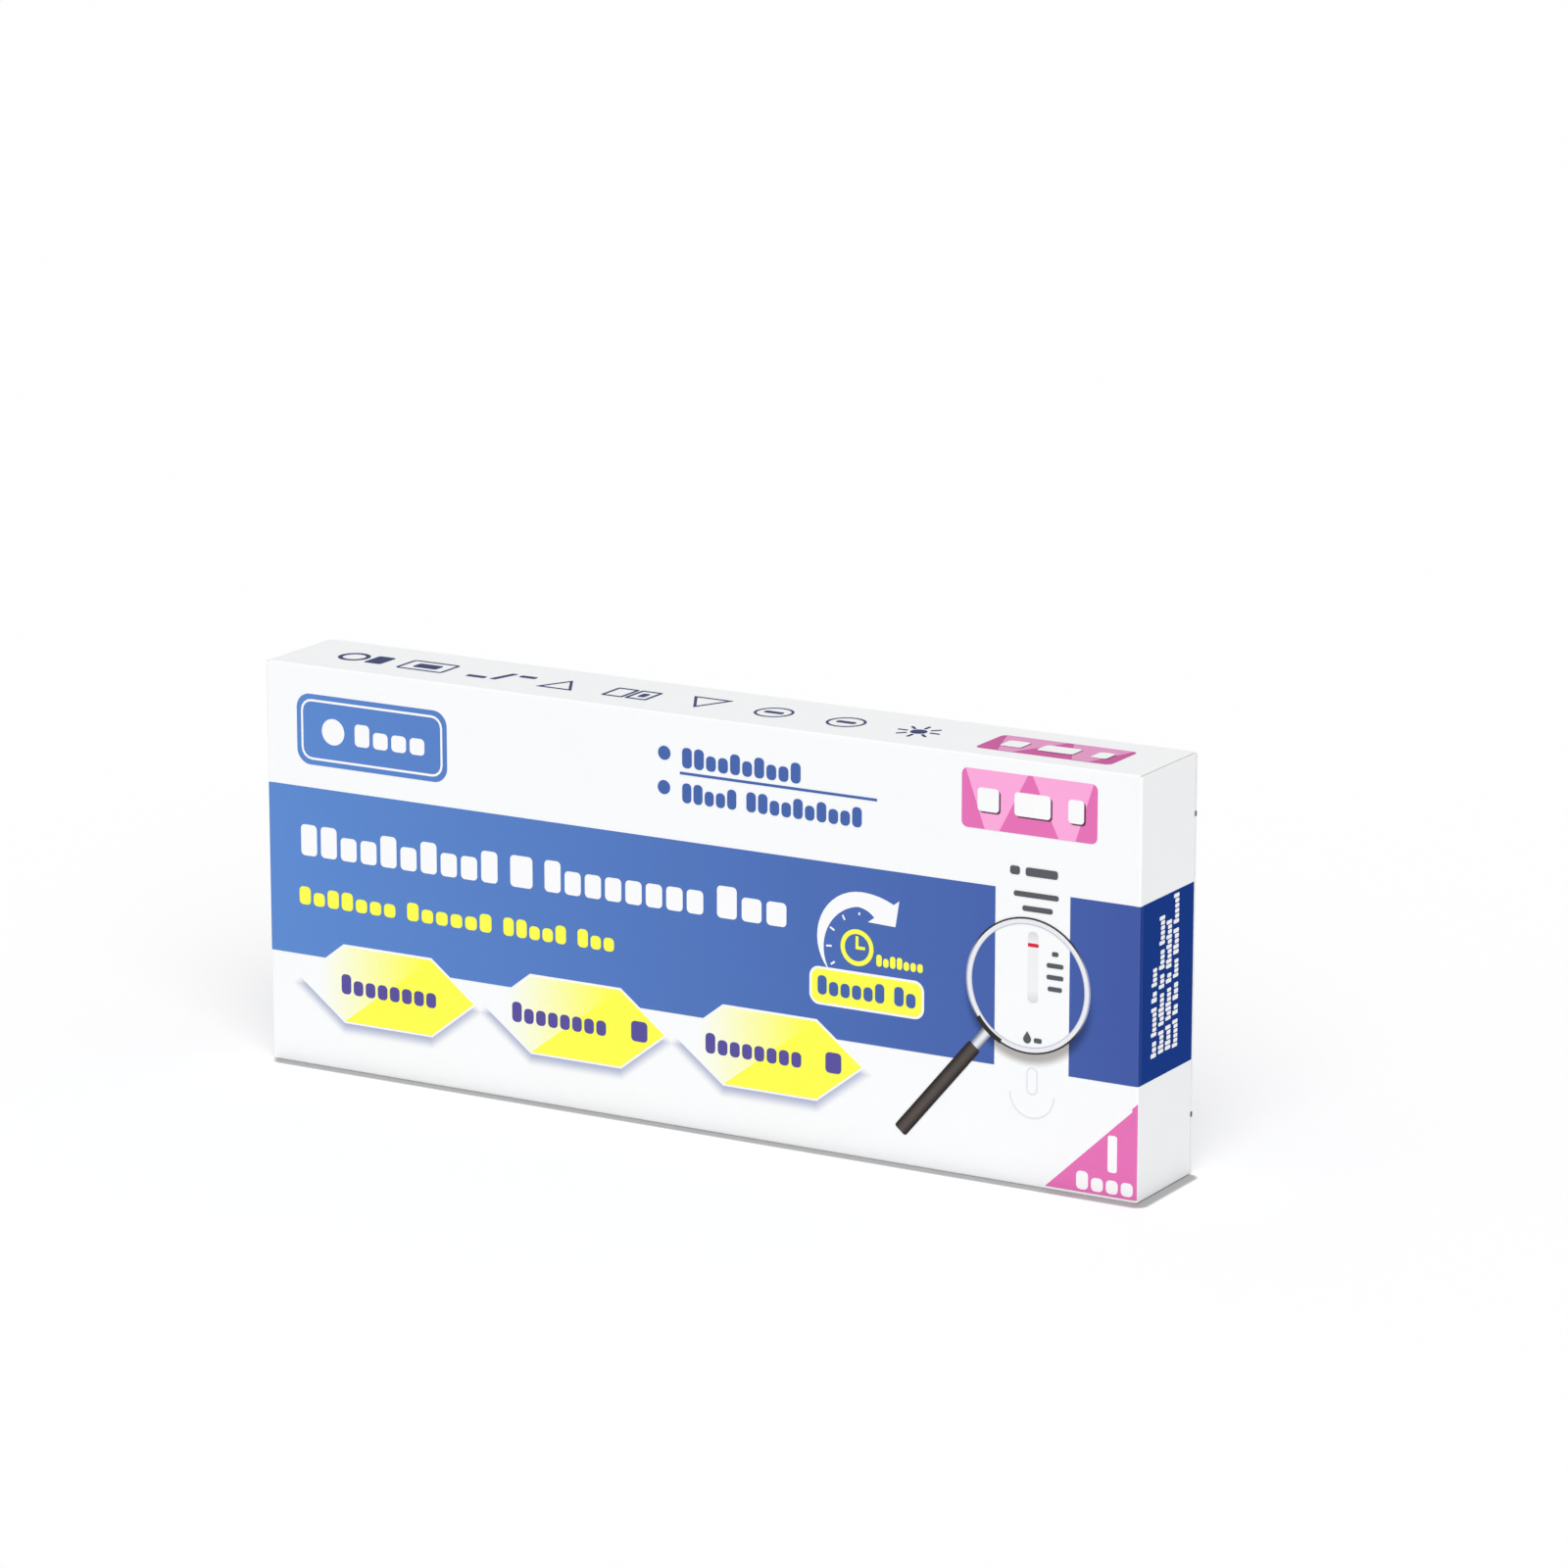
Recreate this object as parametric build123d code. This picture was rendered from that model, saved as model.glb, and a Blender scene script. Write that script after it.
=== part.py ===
"""Printed tuck-end carton of a single rapid test kit, with what it holds.

X runs along the carton with the visible end flap at +X, Y from the display panel at -Y
to the back panel at +Y, and Z up. The origin is the centre of the bottom face.
All sizes are in millimetres. The carton is sized around its contents, as such packs are.
"""

from build123d import *
import os
from math import atan2, degrees

# Board, creases and running gaps
BOARD = 0.4
FOLD_RADIUS = 0.3
FLAP_GAP = 0.1
FLAP_INSET = 0.2

# Tuck flaps
TUCK_GAP = 0.5
TUCK_DEPTH = 14.0
TUCK_INSET = 1.6
TUCK_CORNER = 6.0
SLIT_LENGTH = 11.5
SLIT_WIDTH = 0.6
NICK_DEPTH = 0.5
NICK_HEIGHT = 1.0

# Dust flaps
DUST_LENGTH = 28.0
DUST_FRONT_GAP = 0.5
DUST_SETBACK = 4.2
DUST_CHAMFER = 6.0

# Glue flap and its seam
GLUE_WIDTH = 12.0
GLUE_TAPER = 3.5
GLUE_END_GAP = 1.0
SEAM_GAP = 0.15

# Room left round the contents
END_ROOM = 3.1
FRONT_ROOM = 0.92
CONTENT_GAP = 0.4
HEADROOM = 8.8
POUCH_TUBE_GAP = 2.0

# Swab
SWAB_LENGTH = 150.0
SHAFT_RADIUS = 1.25
NECK_RADIUS = 0.7
NECK_LENGTH = 22.0
NECK_TAPER = 4.0
BREAK_FROM_TIP = 80.0
BREAK_DEPTH = 0.45
BREAK_WIDTH = 1.2
TIP_LENGTH = 16.0
TIP_RADIUS = 2.3
TIP_CAP = 1.2
TIP_FLAT = 0.45
TIP_NOSE = 0.8
TIP_SHOULDER = 0.6

# Swab wrapper: a paper back and a clear formed front
WRAPPER_END = 16.0
WRAPPER_HEIGHT = 26.0
WRAPPER_CORNER = 1.0
BACK_PAPER = 0.15
FILM = 0.15
CHANNEL_ROOM = 0.1

# Extraction tube, its foil lid and its liquid
TUBE_LENGTH = 60.0
RIM_RADIUS = 6.0
RIM_THICKNESS = 1.5
MOUTH_RADIUS = 4.8
TUBE_FOOT_RADIUS = 2.2
TUBE_FOOT_LENGTH = 5.0
TUBE_WALL = 0.8
BEAD_POSITION = 4.0
BEAD_PROUD = 0.15
BEAD_WIDTH = 0.8
LID_FOIL = 0.1
LID_RADIUS = 5.8
LID_TAB_WIDTH = 6.0
LID_TAB_LENGTH = 5.0
LIQUID_GAP = 0.05
LIQUID_DEPTH = 1.9

# Dropper cap
CAP_CLEARANCE = 0.1
CAP_WALL = 0.8
CAP_SKIRT = 12.0
CAP_BORE_DEPTH = 10.0
CAP_SHOULDER = 2.5
CAP_NOZZLE_BASE = 3.2
CAP_NOZZLE_TIP = 1.2
CAP_NOZZLE_LENGTH = 11.0
CAP_CHANNEL = 0.75
CAP_ORIFICE = 0.4
CAP_ORIFICE_LENGTH = 1.0
CAP_RIB_COUNT = 18
CAP_RIB_PROUD = 0.3
CAP_RIB_WIDTH = 0.8
CAP_RIB_END = 1.5
CAP_FROM_RIM = 24.0

# Foil pouch, sealed round the test cassette
POUCH_CORNER = 1.5
POUCH_FOIL = 0.3
POUCH_SEAL = 8.0
POUCH_SIDE_ROOM = 9.0
CASSETTE_LENGTH = 70.0
CASSETTE_WIDTH = 20.0
CASSETTE_THICKNESS = 5.0
CASSETTE_FROM_SEAL = 6.0
FOIL_SHOULDER = 7.0
SACHET_LENGTH = 18.0
SACHET_WIDTH = 30.0
SACHET_THICKNESS = 2.6
SACHET_GAP = 3.0
SACHET_FROM_SEAL = 5.0
SACHET_SHOULDER = 3.0
BULGE_CORNER = 2.5
NOTCH_DEPTH = 2.0
NOTCH_WIDTH = 3.0

# Instruction leaflet, folded zigzag
LEAFLET_HEIGHT = 70.0
LEAFLET_END_ROOM = 11.0
LEAFLET_PANELS = 4
LEAFLET_PAPER = 0.1
LEAFLET_PITCH = 0.36

# Printed fields on the display panel, from its left and bottom edges
INK = 0.05
BAND_BOTTOM = 22.1
BAND_TOP = 55.8
HEXAGON_LENGTH = 39.5
HEXAGON_FLAT = 20.0
HEXAGON_HEIGHT = 15.0
HEXAGON_BOTTOM = 9.9
HEXAGON_LEFT = 7.4
HEXAGON_PITCH = 42.8
HEXAGON_COUNT = 3
WHITE_EDGE = 0.5
LABEL_LEFT = 121.8
LABEL_BOTTOM = 28.8
LABEL_LENGTH = 23.4
LABEL_HEIGHT = 6.4
LABEL_CORNER = 1.6
EMBLEM_LEFT = 7.0
EMBLEM_BOTTOM = 60.4
EMBLEM_LENGTH = 34.5
EMBLEM_HEIGHT = 14.0
EMBLEM_CORNER = 3.0

# Printed fields measured from the display panel's right edge
STRIP_FROM_RIGHT = 14.2
STRIP_WIDTH = 15.4
BADGE_FROM_RIGHT = 8.9
BADGE_LENGTH = 27.8
BADGE_HEIGHT = 11.1
BADGE_BOTTOM = 66.2
BADGE_CORNER = 1.2
TRIANGLE_LENGTH = 18.8
TRIANGLE_HEIGHT = 17.6
TOP_BADGE_FRONT = 4.6
TOP_BADGE_WIDTH = 11.2

# Sizes that follow from the ones above
WRAPPER_LENGTH = SWAB_LENGTH + 2 * WRAPPER_END
CHANNEL_RADIUS = 2 * TIP_RADIUS + CHANNEL_ROOM
WRAPPER_THICKNESS = BACK_PAPER + CHANNEL_RADIUS + FILM
POUCH_THICKNESS = CASSETTE_THICKNESS + 2 * POUCH_FOIL
POUCH_ROOM = CASSETTE_FROM_SEAL + CASSETTE_LENGTH + SACHET_GAP + SACHET_LENGTH + SACHET_FROM_SEAL
POUCH_LENGTH = POUCH_ROOM + 2 * POUCH_SEAL
POUCH_HEIGHT = SACHET_WIDTH + 2 * (POUCH_SIDE_ROOM + POUCH_SEAL)
CAP_RADIUS = MOUTH_RADIUS + CAP_CLEARANCE + CAP_WALL + CAP_RIB_PROUD
ROUND_WIDTH = 2 * max(RIM_RADIUS, CAP_RADIUS, POUCH_THICKNESS / 2)
LEAFLET_THICKNESS = (LEAFLET_PANELS - 1) * LEAFLET_PITCH + LEAFLET_PAPER
TUCK_STACK = BOARD + TUCK_GAP + BOARD
CONTENT_LENGTH = max(WRAPPER_LENGTH, POUCH_LENGTH + POUCH_TUBE_GAP + TUBE_LENGTH)
LEAFLET_LENGTH = CONTENT_LENGTH - 2 * LEAFLET_END_ROOM
CONTENT_HEIGHT = max(LEAFLET_HEIGHT, POUCH_HEIGHT, WRAPPER_HEIGHT)
CARTON_LENGTH = CONTENT_LENGTH + 2 * (END_ROOM + 2 * BOARD + FLAP_GAP)
CARTON_DEPTH = (
    BOARD
    + FRONT_ROOM
    + WRAPPER_THICKNESS
    + CONTENT_GAP
    + ROUND_WIDTH
    + CONTENT_GAP
    + LEAFLET_THICKNESS
    + CONTENT_GAP
    + TUCK_STACK
)
CARTON_HEIGHT = 2 * BOARD + CONTENT_HEIGHT + HEADROOM + BOARD

# Planes that several pieces share
END_X = CARTON_LENGTH / 2
FRONT_Y = -CARTON_DEPTH / 2
BACK_Y = CARTON_DEPTH / 2
DUST_X = END_X - BOARD - FLAP_GAP
TUCK_Y = BACK_Y - BOARD - TUCK_GAP
FLAP_REAR_Y = BACK_Y - BOARD - FLAP_GAP
GLUE_FLOOR = 2 * BOARD
WRAPPER_BACK_Y = FRONT_Y + BOARD + FRONT_ROOM + WRAPPER_THICKNESS
ROUND_Y = WRAPPER_BACK_Y + CONTENT_GAP + ROUND_WIDTH / 2
LEAFLET_Y = ROUND_Y + ROUND_WIDTH / 2 + CONTENT_GAP
CONTENT_LEFT = -CONTENT_LENGTH / 2


def block(x0, x1, y0, y1, z0, z1):
    """A box between two corners."""
    return Pos((x0 + x1) / 2, (y0 + y1) / 2, (z0 + z1) / 2) * Box(x1 - x0, y1 - y0, z1 - z0)


def both_ends(shape):
    """A shape at the right end and its mirror image at the left end."""
    return [shape, mirror(shape, about=Plane.YZ)]


def dust_flap():
    """The upper dust flap of the right end, cut back at the rear so that the tuck flap passes."""
    front = FRONT_Y + BOARD + DUST_FRONT_GAP
    rear = BACK_Y - BOARD - DUST_SETBACK
    root = CARTON_HEIGHT - BOARD / 2
    tip = CARTON_HEIGHT - DUST_LENGTH
    outline = Polyline(
        (front, root),
        (rear, root),
        (rear, tip + DUST_CHAMFER),
        (rear - DUST_CHAMFER / 2, tip),
        (front + DUST_CHAMFER / 4, tip),
        (front, tip + DUST_CHAMFER),
        close=True,
    )
    face = Plane.YZ.offset(DUST_X - BOARD) * make_face(outline)
    return extrude(face, amount=BOARD)


def glue_flap():
    """The flap that hangs from the back panel and is glued inside the bottom panel."""
    rear = BACK_Y - BOARD / 2
    front = BACK_Y - BOARD - GLUE_WIDTH
    half = DUST_X - BOARD - GLUE_END_GAP
    outline = Polyline(
        (-half, rear),
        (half, rear),
        (half - GLUE_TAPER, front),
        (-half + GLUE_TAPER, front),
        close=True,
    )
    return extrude(Plane.XY.offset(BOARD) * make_face(outline), amount=BOARD)


def carton_body():
    """The four panels, glue flap and four dust flaps: one sheet of board, folded and glued."""
    outer = RectangleRounded(CARTON_DEPTH, CARTON_HEIGHT, FOLD_RADIUS)
    inner = Rectangle(CARTON_DEPTH - 2 * BOARD, CARTON_HEIGHT - 2 * BOARD)
    section = Plane.YZ * Pos(0, CARTON_HEIGHT / 2) * (outer - inner)
    body = extrude(section, amount=DUST_X, both=True)
    upper = dust_flap()
    lower = mirror(upper, about=Plane.XY.offset(CARTON_HEIGHT / 2))
    for piece in (upper, lower):
        body += both_ends(piece)
    creases = (
        body.edges()
        .filter_by(Axis.Y)
        .filter_by(lambda e: abs(abs(e.center().X) - DUST_X) < FLAP_GAP / 2)
        .filter_by(lambda e: abs(e.center().Z - CARTON_HEIGHT / 2) > CARTON_HEIGHT / 2 - BOARD / 4)
    )
    body = fillet(creases, FOLD_RADIUS)
    low, high = FLAP_INSET, CARTON_HEIGHT - FLAP_INSET
    back_edge = block(DUST_X - BOARD, END_X, BACK_Y - BOARD, BACK_Y, low, high)
    front_edge = block(DUST_X - BOARD, END_X - BOARD, FRONT_Y, FRONT_Y + BOARD, low, high)
    for piece in (back_edge, front_edge):
        body += both_ends(piece)
    body += glue_flap()
    seam = block(-DUST_X, DUST_X, BACK_Y - BOARD - SEAM_GAP, BACK_Y - BOARD, 0, BOARD)
    return body - seam


def end_flap():
    """The right end flap, hinged on the display panel, with nicks where the tuck's slits end."""
    plate = block(END_X - BOARD, END_X, FRONT_Y, FLAP_REAR_Y, FLAP_INSET, CARTON_HEIGHT - FLAP_INSET)
    plate = fillet(plate.edges().filter_by(Axis.Z).group_by(Axis.X)[-1], FOLD_RADIUS)
    for middle in (SLIT_LENGTH, CARTON_HEIGHT - SLIT_LENGTH):
        low, high = middle - NICK_HEIGHT / 2, middle + NICK_HEIGHT / 2
        plate -= block(END_X - BOARD, END_X, FLAP_REAR_Y - NICK_DEPTH, FLAP_REAR_Y, low, high)
    return plate


def tuck_flap():
    """The right tuck flap, behind the back panel, with a slit at each end of its crease."""
    low, high = TUCK_INSET, CARTON_HEIGHT - TUCK_INSET
    plate = block(END_X - TUCK_DEPTH, END_X - BOARD, TUCK_Y - BOARD, TUCK_Y, low, high)
    plate = fillet(plate.edges().filter_by(Axis.Y).group_by(Axis.X)[0], TUCK_CORNER)
    root = END_X - BOARD
    for bottom, top in ((low, SLIT_LENGTH), (CARTON_HEIGHT - SLIT_LENGTH, high)):
        plate -= block(root - SLIT_WIDTH, root, TUCK_Y - BOARD, TUCK_Y, bottom, top)
    return plate


def hexagon(grow=0.0):
    """One long hexagonal field, centred, grown outwards by a margin."""
    half, flat, rise = HEXAGON_LENGTH / 2, HEXAGON_FLAT / 2, HEXAGON_HEIGHT / 2
    points = [(half, 0), (flat, rise), (-flat, rise), (-half, 0), (-flat, -rise), (flat, -rise)]
    outline = make_face(Polyline(*points, close=True))
    return offset(outline, amount=grow, kind=Kind.INTERSECTION) if grow else outline


def hexagon_places():
    """The centres of the row of hexagons on the display panel."""
    first = HEXAGON_LEFT + HEXAGON_LENGTH / 2
    middle = HEXAGON_BOTTOM + HEXAGON_HEIGHT / 2
    return [Pos(first + i * HEXAGON_PITCH, middle) for i in range(HEXAGON_COUNT)]


def rounded_field(left, bottom, length, height, corner, grow=0.0):
    """A rectangle with rounded corners, placed by its lower left corner."""
    shape = RectangleRounded(length + 2 * grow, height + 2 * grow, corner + grow)
    return Pos(left + length / 2, bottom + height / 2) * shape


def plain_field(left, bottom, right, top):
    """A rectangle between two corners."""
    return Pos((left + right) / 2, (bottom + top) / 2) * Rectangle(right - left, top - bottom)


def on_front(sketch):
    """Ink on the display panel. The sketch starts at the panel's lower left corner."""
    plane = Plane(origin=(-END_X, FRONT_Y, 0), x_dir=(1, 0, 0), z_dir=(0, -1, 0))
    return extrude(plane * sketch, amount=INK)


def on_back(sketch):
    """Ink on the back panel. The sketch starts at the lower corner under the display's left edge."""
    plane = Plane(origin=(-END_X, BACK_Y + INK, 0), x_dir=(1, 0, 0), z_dir=(0, -1, 0))
    return extrude(plane * sketch, amount=INK)


def on_top(sketch):
    """Ink on the top panel. The sketch starts over the display panel's left corner."""
    plane = Plane(origin=(-END_X, FRONT_Y, CARTON_HEIGHT), x_dir=(1, 0, 0), z_dir=(0, 0, 1))
    return extrude(plane * sketch, amount=INK)


def on_right_end(sketch):
    """Ink on the right end flap. The sketch starts at the display panel's right corner."""
    plane = Plane(origin=(END_X, FRONT_Y, 0), x_dir=(0, 1, 0), z_dir=(1, 0, 0))
    return extrude(plane * sketch, amount=INK)


def result_label(grow=0.0):
    """The yellow label beside the clock arrow."""
    return rounded_field(LABEL_LEFT, LABEL_BOTTOM, LABEL_LENGTH, LABEL_HEIGHT, LABEL_CORNER, grow)


def badge():
    """The pink badge of the display panel."""
    left = CARTON_LENGTH - BADGE_FROM_RIGHT - BADGE_LENGTH
    return rounded_field(left, BADGE_BOTTOM, BADGE_LENGTH, BADGE_HEIGHT, BADGE_CORNER)


def top_badge():
    """The same badge on the top panel."""
    left = CARTON_LENGTH - BADGE_FROM_RIGHT - BADGE_LENGTH
    return rounded_field(left, TOP_BADGE_FRONT, BADGE_LENGTH, TOP_BADGE_WIDTH, BADGE_CORNER)


def blue_print():
    """The blue band, open for the fields that lie on it, the emblem's field and the back band."""
    fold = BOARD + FOLD_RADIUS
    band = plain_field(fold, BAND_BOTTOM, CARTON_LENGTH - fold, BAND_TOP)
    strip_left = CARTON_LENGTH - STRIP_FROM_RIGHT - STRIP_WIDTH
    band -= plain_field(strip_left, BAND_BOTTOM, strip_left + STRIP_WIDTH, BAND_TOP)
    band -= result_label(WHITE_EDGE)
    for place in hexagon_places():
        band -= place * hexagon(WHITE_EDGE)
    emblem = rounded_field(EMBLEM_LEFT, EMBLEM_BOTTOM, EMBLEM_LENGTH, EMBLEM_HEIGHT, EMBLEM_CORNER)
    back_band = plain_field(FOLD_RADIUS, BAND_BOTTOM, CARTON_LENGTH - FOLD_RADIUS, BAND_TOP)
    return [on_front(band), on_front(emblem), on_back(back_band)]


def yellow_print():
    """The row of hexagons and the result label."""
    return [on_front(place * hexagon()) for place in hexagon_places()] + [on_front(result_label())]


def pink_print():
    """The badges of the display and top panels, and the corner triangle."""
    left = CARTON_LENGTH - TRIANGLE_LENGTH
    right = CARTON_LENGTH - BOARD - FOLD_RADIUS
    foot = 2 * FOLD_RADIUS
    corner = make_face(Polyline((right, foot), (right, TRIANGLE_HEIGHT), (left, foot), close=True))
    return [on_front(badge()), on_front(corner), on_top(top_badge())]


def end_print():
    """The band where it runs on over the right end flap."""
    rear = FLAP_REAR_Y - FRONT_Y - FOLD_RADIUS
    return on_right_end(plain_field(FOLD_RADIUS, BAND_BOTTOM, rear, BAND_TOP))


def leaflet():
    """A sheet folded zigzag, standing on its folds behind the other contents."""
    ring = LEAFLET_PITCH / 2
    straight = LEAFLET_HEIGHT - 2 * (ring + LEAFLET_PAPER / 2)
    first = LEAFLET_Y + LEAFLET_PAPER / 2
    middle = GLUE_FLOOR + LEAFLET_HEIGHT / 2
    section = Sketch()
    for i in range(LEAFLET_PANELS):
        section += Pos(first + i * LEAFLET_PITCH, middle) * Rectangle(LEAFLET_PAPER, straight)
    for i in range(LEAFLET_PANELS - 1):
        up = 1 if i % 2 == 0 else -1
        centre = Pos(first + (i + 0.5) * LEAFLET_PITCH, middle + up * straight / 2)
        bend = Circle(ring + LEAFLET_PAPER / 2) - Circle(ring - LEAFLET_PAPER / 2)
        half = Pos(0, up * LEAFLET_PITCH) * Rectangle(2 * LEAFLET_PITCH, 2 * LEAFLET_PITCH)
        section += centre * (bend & half)
    return extrude(Plane.YZ.offset(CONTENT_LEFT + LEAFLET_END_ROOM) * section, amount=LEAFLET_LENGTH)


def foil_bulge(side, x, z, length, width, thickness, shoulder):
    """Foil drawn over something flat inside the pouch, on one side of its middle plane."""
    face = POUCH_FOIL / 2
    base = Plane(origin=(x, ROUND_Y + side * face, z), x_dir=(1, 0, 0), z_dir=(0, side, 0))
    foot = RectangleRounded(length + 2 * shoulder, width + 2 * shoulder, BULGE_CORNER + shoulder)
    height = thickness / 2 + POUCH_FOIL - face
    return extrude(base * foot, amount=height, taper=degrees(atan2(shoulder, height)))


def foil_pouch():
    """The sealed pouch, standing on its long edge, with the cassette and sachet showing through."""
    x0, z0 = CONTENT_LEFT, GLUE_FLOOR
    middle_z = z0 + POUCH_HEIGHT / 2
    plane = Plane(origin=(x0 + POUCH_LENGTH / 2, ROUND_Y, middle_z), x_dir=(1, 0, 0), z_dir=(0, -1, 0))
    outline = RectangleRounded(POUCH_LENGTH, POUCH_HEIGHT, POUCH_CORNER)
    sheet = extrude(plane * outline, POUCH_FOIL / 2, both=True)
    cassette_x = x0 + POUCH_SEAL + CASSETTE_FROM_SEAL + CASSETTE_LENGTH / 2
    sachet_x = cassette_x + (CASSETTE_LENGTH + SACHET_LENGTH) / 2 + SACHET_GAP
    for side in (-1, 1):
        sheet += foil_bulge(
            side, cassette_x, middle_z, CASSETTE_LENGTH, CASSETTE_WIDTH, CASSETTE_THICKNESS, FOIL_SHOULDER
        )
        sheet += foil_bulge(
            side, sachet_x, middle_z, SACHET_LENGTH, SACHET_WIDTH, SACHET_THICKNESS, SACHET_SHOULDER
        )
    notch = make_face(Polyline((-NOTCH_WIDTH / 2, 0), (NOTCH_WIDTH / 2, 0), (0, -NOTCH_DEPTH), close=True))
    notch_x = POUCH_LENGTH / 2 - POUCH_SEAL / 2
    for turn in (0, 180):
        cut = Rot(0, 0, turn) * Pos(notch_x if turn == 0 else -notch_x, POUCH_HEIGHT / 2) * notch
        sheet -= extrude(plane * cut, POUCH_FOIL, both=True)
    return sheet


def swab_axis():
    """Where the swab lies in its wrapper: its tip's end, on its axis."""
    x = CONTENT_LEFT + (CONTENT_LENGTH - SWAB_LENGTH) / 2
    y = WRAPPER_BACK_Y - BACK_PAPER - TIP_RADIUS - CHANNEL_ROOM / 2
    return Pos(x, y, BOARD + WRAPPER_HEIGHT / 2)


def swab_shaft():
    """A moulded stick with a thin neck for the tip and a notch where it snaps."""
    start = TIP_CAP
    notch = BREAK_FROM_TIP
    inner = SHAFT_RADIUS - BREAK_DEPTH
    outline = Polyline(
        (start, 0),
        (start, NECK_RADIUS),
        (NECK_LENGTH, NECK_RADIUS),
        (NECK_LENGTH + NECK_TAPER, SHAFT_RADIUS),
        (notch - BREAK_WIDTH / 2, SHAFT_RADIUS),
        (notch, inner),
        (notch + BREAK_WIDTH / 2, SHAFT_RADIUS),
        (SWAB_LENGTH, SHAFT_RADIUS),
        (SWAB_LENGTH, 0),
        close=True,
    )
    return swab_axis() * revolve(make_face(outline), Axis.X)


def swab_tip():
    """The flocked bullet-shaped tip on the neck."""
    shoulder = TIP_RADIUS * TIP_SHOULDER
    outline = Polyline(
        (0, 0),
        (0, TIP_RADIUS * TIP_FLAT),
        (TIP_RADIUS * TIP_NOSE, TIP_RADIUS),
        (TIP_LENGTH - shoulder, TIP_RADIUS),
        (TIP_LENGTH, NECK_RADIUS),
        (TIP_CAP, NECK_RADIUS),
        (TIP_CAP, 0),
        close=True,
    )
    return swab_axis() * revolve(make_face(outline), Axis.X)


def wrapper_sheet(thickness):
    """A flat sheet of the wrapper's outline, with its rear face on the wrapper's rear plane."""
    centre = (CONTENT_LEFT + CONTENT_LENGTH / 2, WRAPPER_BACK_Y, BOARD + WRAPPER_HEIGHT / 2)
    plane = Plane(origin=centre, x_dir=(1, 0, 0), z_dir=(0, -1, 0))
    outline = RectangleRounded(WRAPPER_LENGTH, WRAPPER_HEIGHT, WRAPPER_CORNER)
    return extrude(plane * outline, amount=thickness)


def channel(radius):
    """Half a round-ended bar, which the film is drawn over."""
    centre = Pos(CONTENT_LEFT + CONTENT_LENGTH / 2, WRAPPER_BACK_Y - BACK_PAPER, BOARD + WRAPPER_HEIGHT / 2)
    bar = Rot(0, 90, 0) * Cylinder(radius, SWAB_LENGTH)
    for end in (-SWAB_LENGTH / 2, SWAB_LENGTH / 2):
        bar += Pos(end, 0, 0) * Sphere(radius)
    front_half = Pos(0, -radius, 0) * Box(SWAB_LENGTH + 4 * radius, 2 * radius, 4 * radius)
    return centre * (bar & front_half)


def wrapper_film():
    """The clear front: flat where it is sealed to the paper, arched over the swab."""
    flat = Pos(0, -BACK_PAPER, 0) * wrapper_sheet(FILM)
    return flat + channel(CHANNEL_RADIUS + FILM) - channel(CHANNEL_RADIUS)


def tube_place():
    """The tube lies along the floor, with its mouth towards the pouch."""
    x = CONTENT_LEFT + POUCH_LENGTH + POUCH_TUBE_GAP + LID_FOIL
    return Pos(x, ROUND_Y, GLUE_FLOOR + RIM_RADIUS)


def tube_cavity(gap=0.0):
    """The profile of the tube's inside, from its mouth to its foot, less a gap."""
    bore = MOUTH_RADIUS - TUBE_WALL - gap
    floor = TUBE_LENGTH - TUBE_WALL - gap
    foot = TUBE_FOOT_RADIUS - TUBE_WALL / 2 - gap
    outline = Polyline(
        (gap, 0),
        (gap, bore),
        (TUBE_LENGTH - TUBE_FOOT_LENGTH, bore),
        (floor, foot),
        (floor, 0),
        close=True,
    )
    return make_face(outline)


def extraction_tube():
    """A soft tube with a rim, a snap bead and a conical foot."""
    bead = RIM_THICKNESS + BEAD_POSITION
    outline = Polyline(
        (0, 0),
        (0, RIM_RADIUS),
        (RIM_THICKNESS, RIM_RADIUS),
        (RIM_THICKNESS, MOUTH_RADIUS),
        (bead - BEAD_WIDTH / 2, MOUTH_RADIUS),
        (bead, MOUTH_RADIUS + BEAD_PROUD),
        (bead + BEAD_WIDTH / 2, MOUTH_RADIUS),
        (TUBE_LENGTH - TUBE_FOOT_LENGTH, MOUTH_RADIUS),
        (TUBE_LENGTH, TUBE_FOOT_RADIUS),
        (TUBE_LENGTH, 0),
        close=True,
    )
    body = revolve(make_face(outline), Axis.X)
    return tube_place() * (body - revolve(tube_cavity(), Axis.X))


def extraction_liquid():
    """The liquid, pooled along the lower side of the lying tube."""
    inside = revolve(tube_cavity(LIQUID_GAP), Axis.X)
    low = MOUTH_RADIUS - TUBE_WALL
    pool = block(0, TUBE_LENGTH, -low, low, -low, LIQUID_DEPTH - low)
    return tube_place() * (inside & pool)


def tube_lid():
    """The foil sealed over the tube's mouth, with a pull tab that stands up."""
    tab_height = RIM_RADIUS + LID_TAB_LENGTH
    tab = Pos(0, tab_height / 2) * Rectangle(LID_TAB_WIDTH, tab_height)
    outline = Circle(LID_RADIUS) + tab
    face = Plane(origin=(0, 0, 0), x_dir=(0, -1, 0), z_dir=(-1, 0, 0)) * outline
    return tube_place() * extrude(face, amount=LID_FOIL)


def cap_ribs(radius):
    """Grip ribs round the skirt of the dropper cap."""
    length = CAP_SKIRT - 2 * CAP_RIB_END
    height = CAP_RIB_PROUD + CAP_WALL / 2
    rib = Pos(CAP_RIB_END + length / 2, 0, radius + CAP_RIB_PROUD - height / 2) * Box(
        length, CAP_RIB_WIDTH, height
    )
    return [Rot(i * 360 / CAP_RIB_COUNT, 0, 0) * rib for i in range(CAP_RIB_COUNT)]


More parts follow.
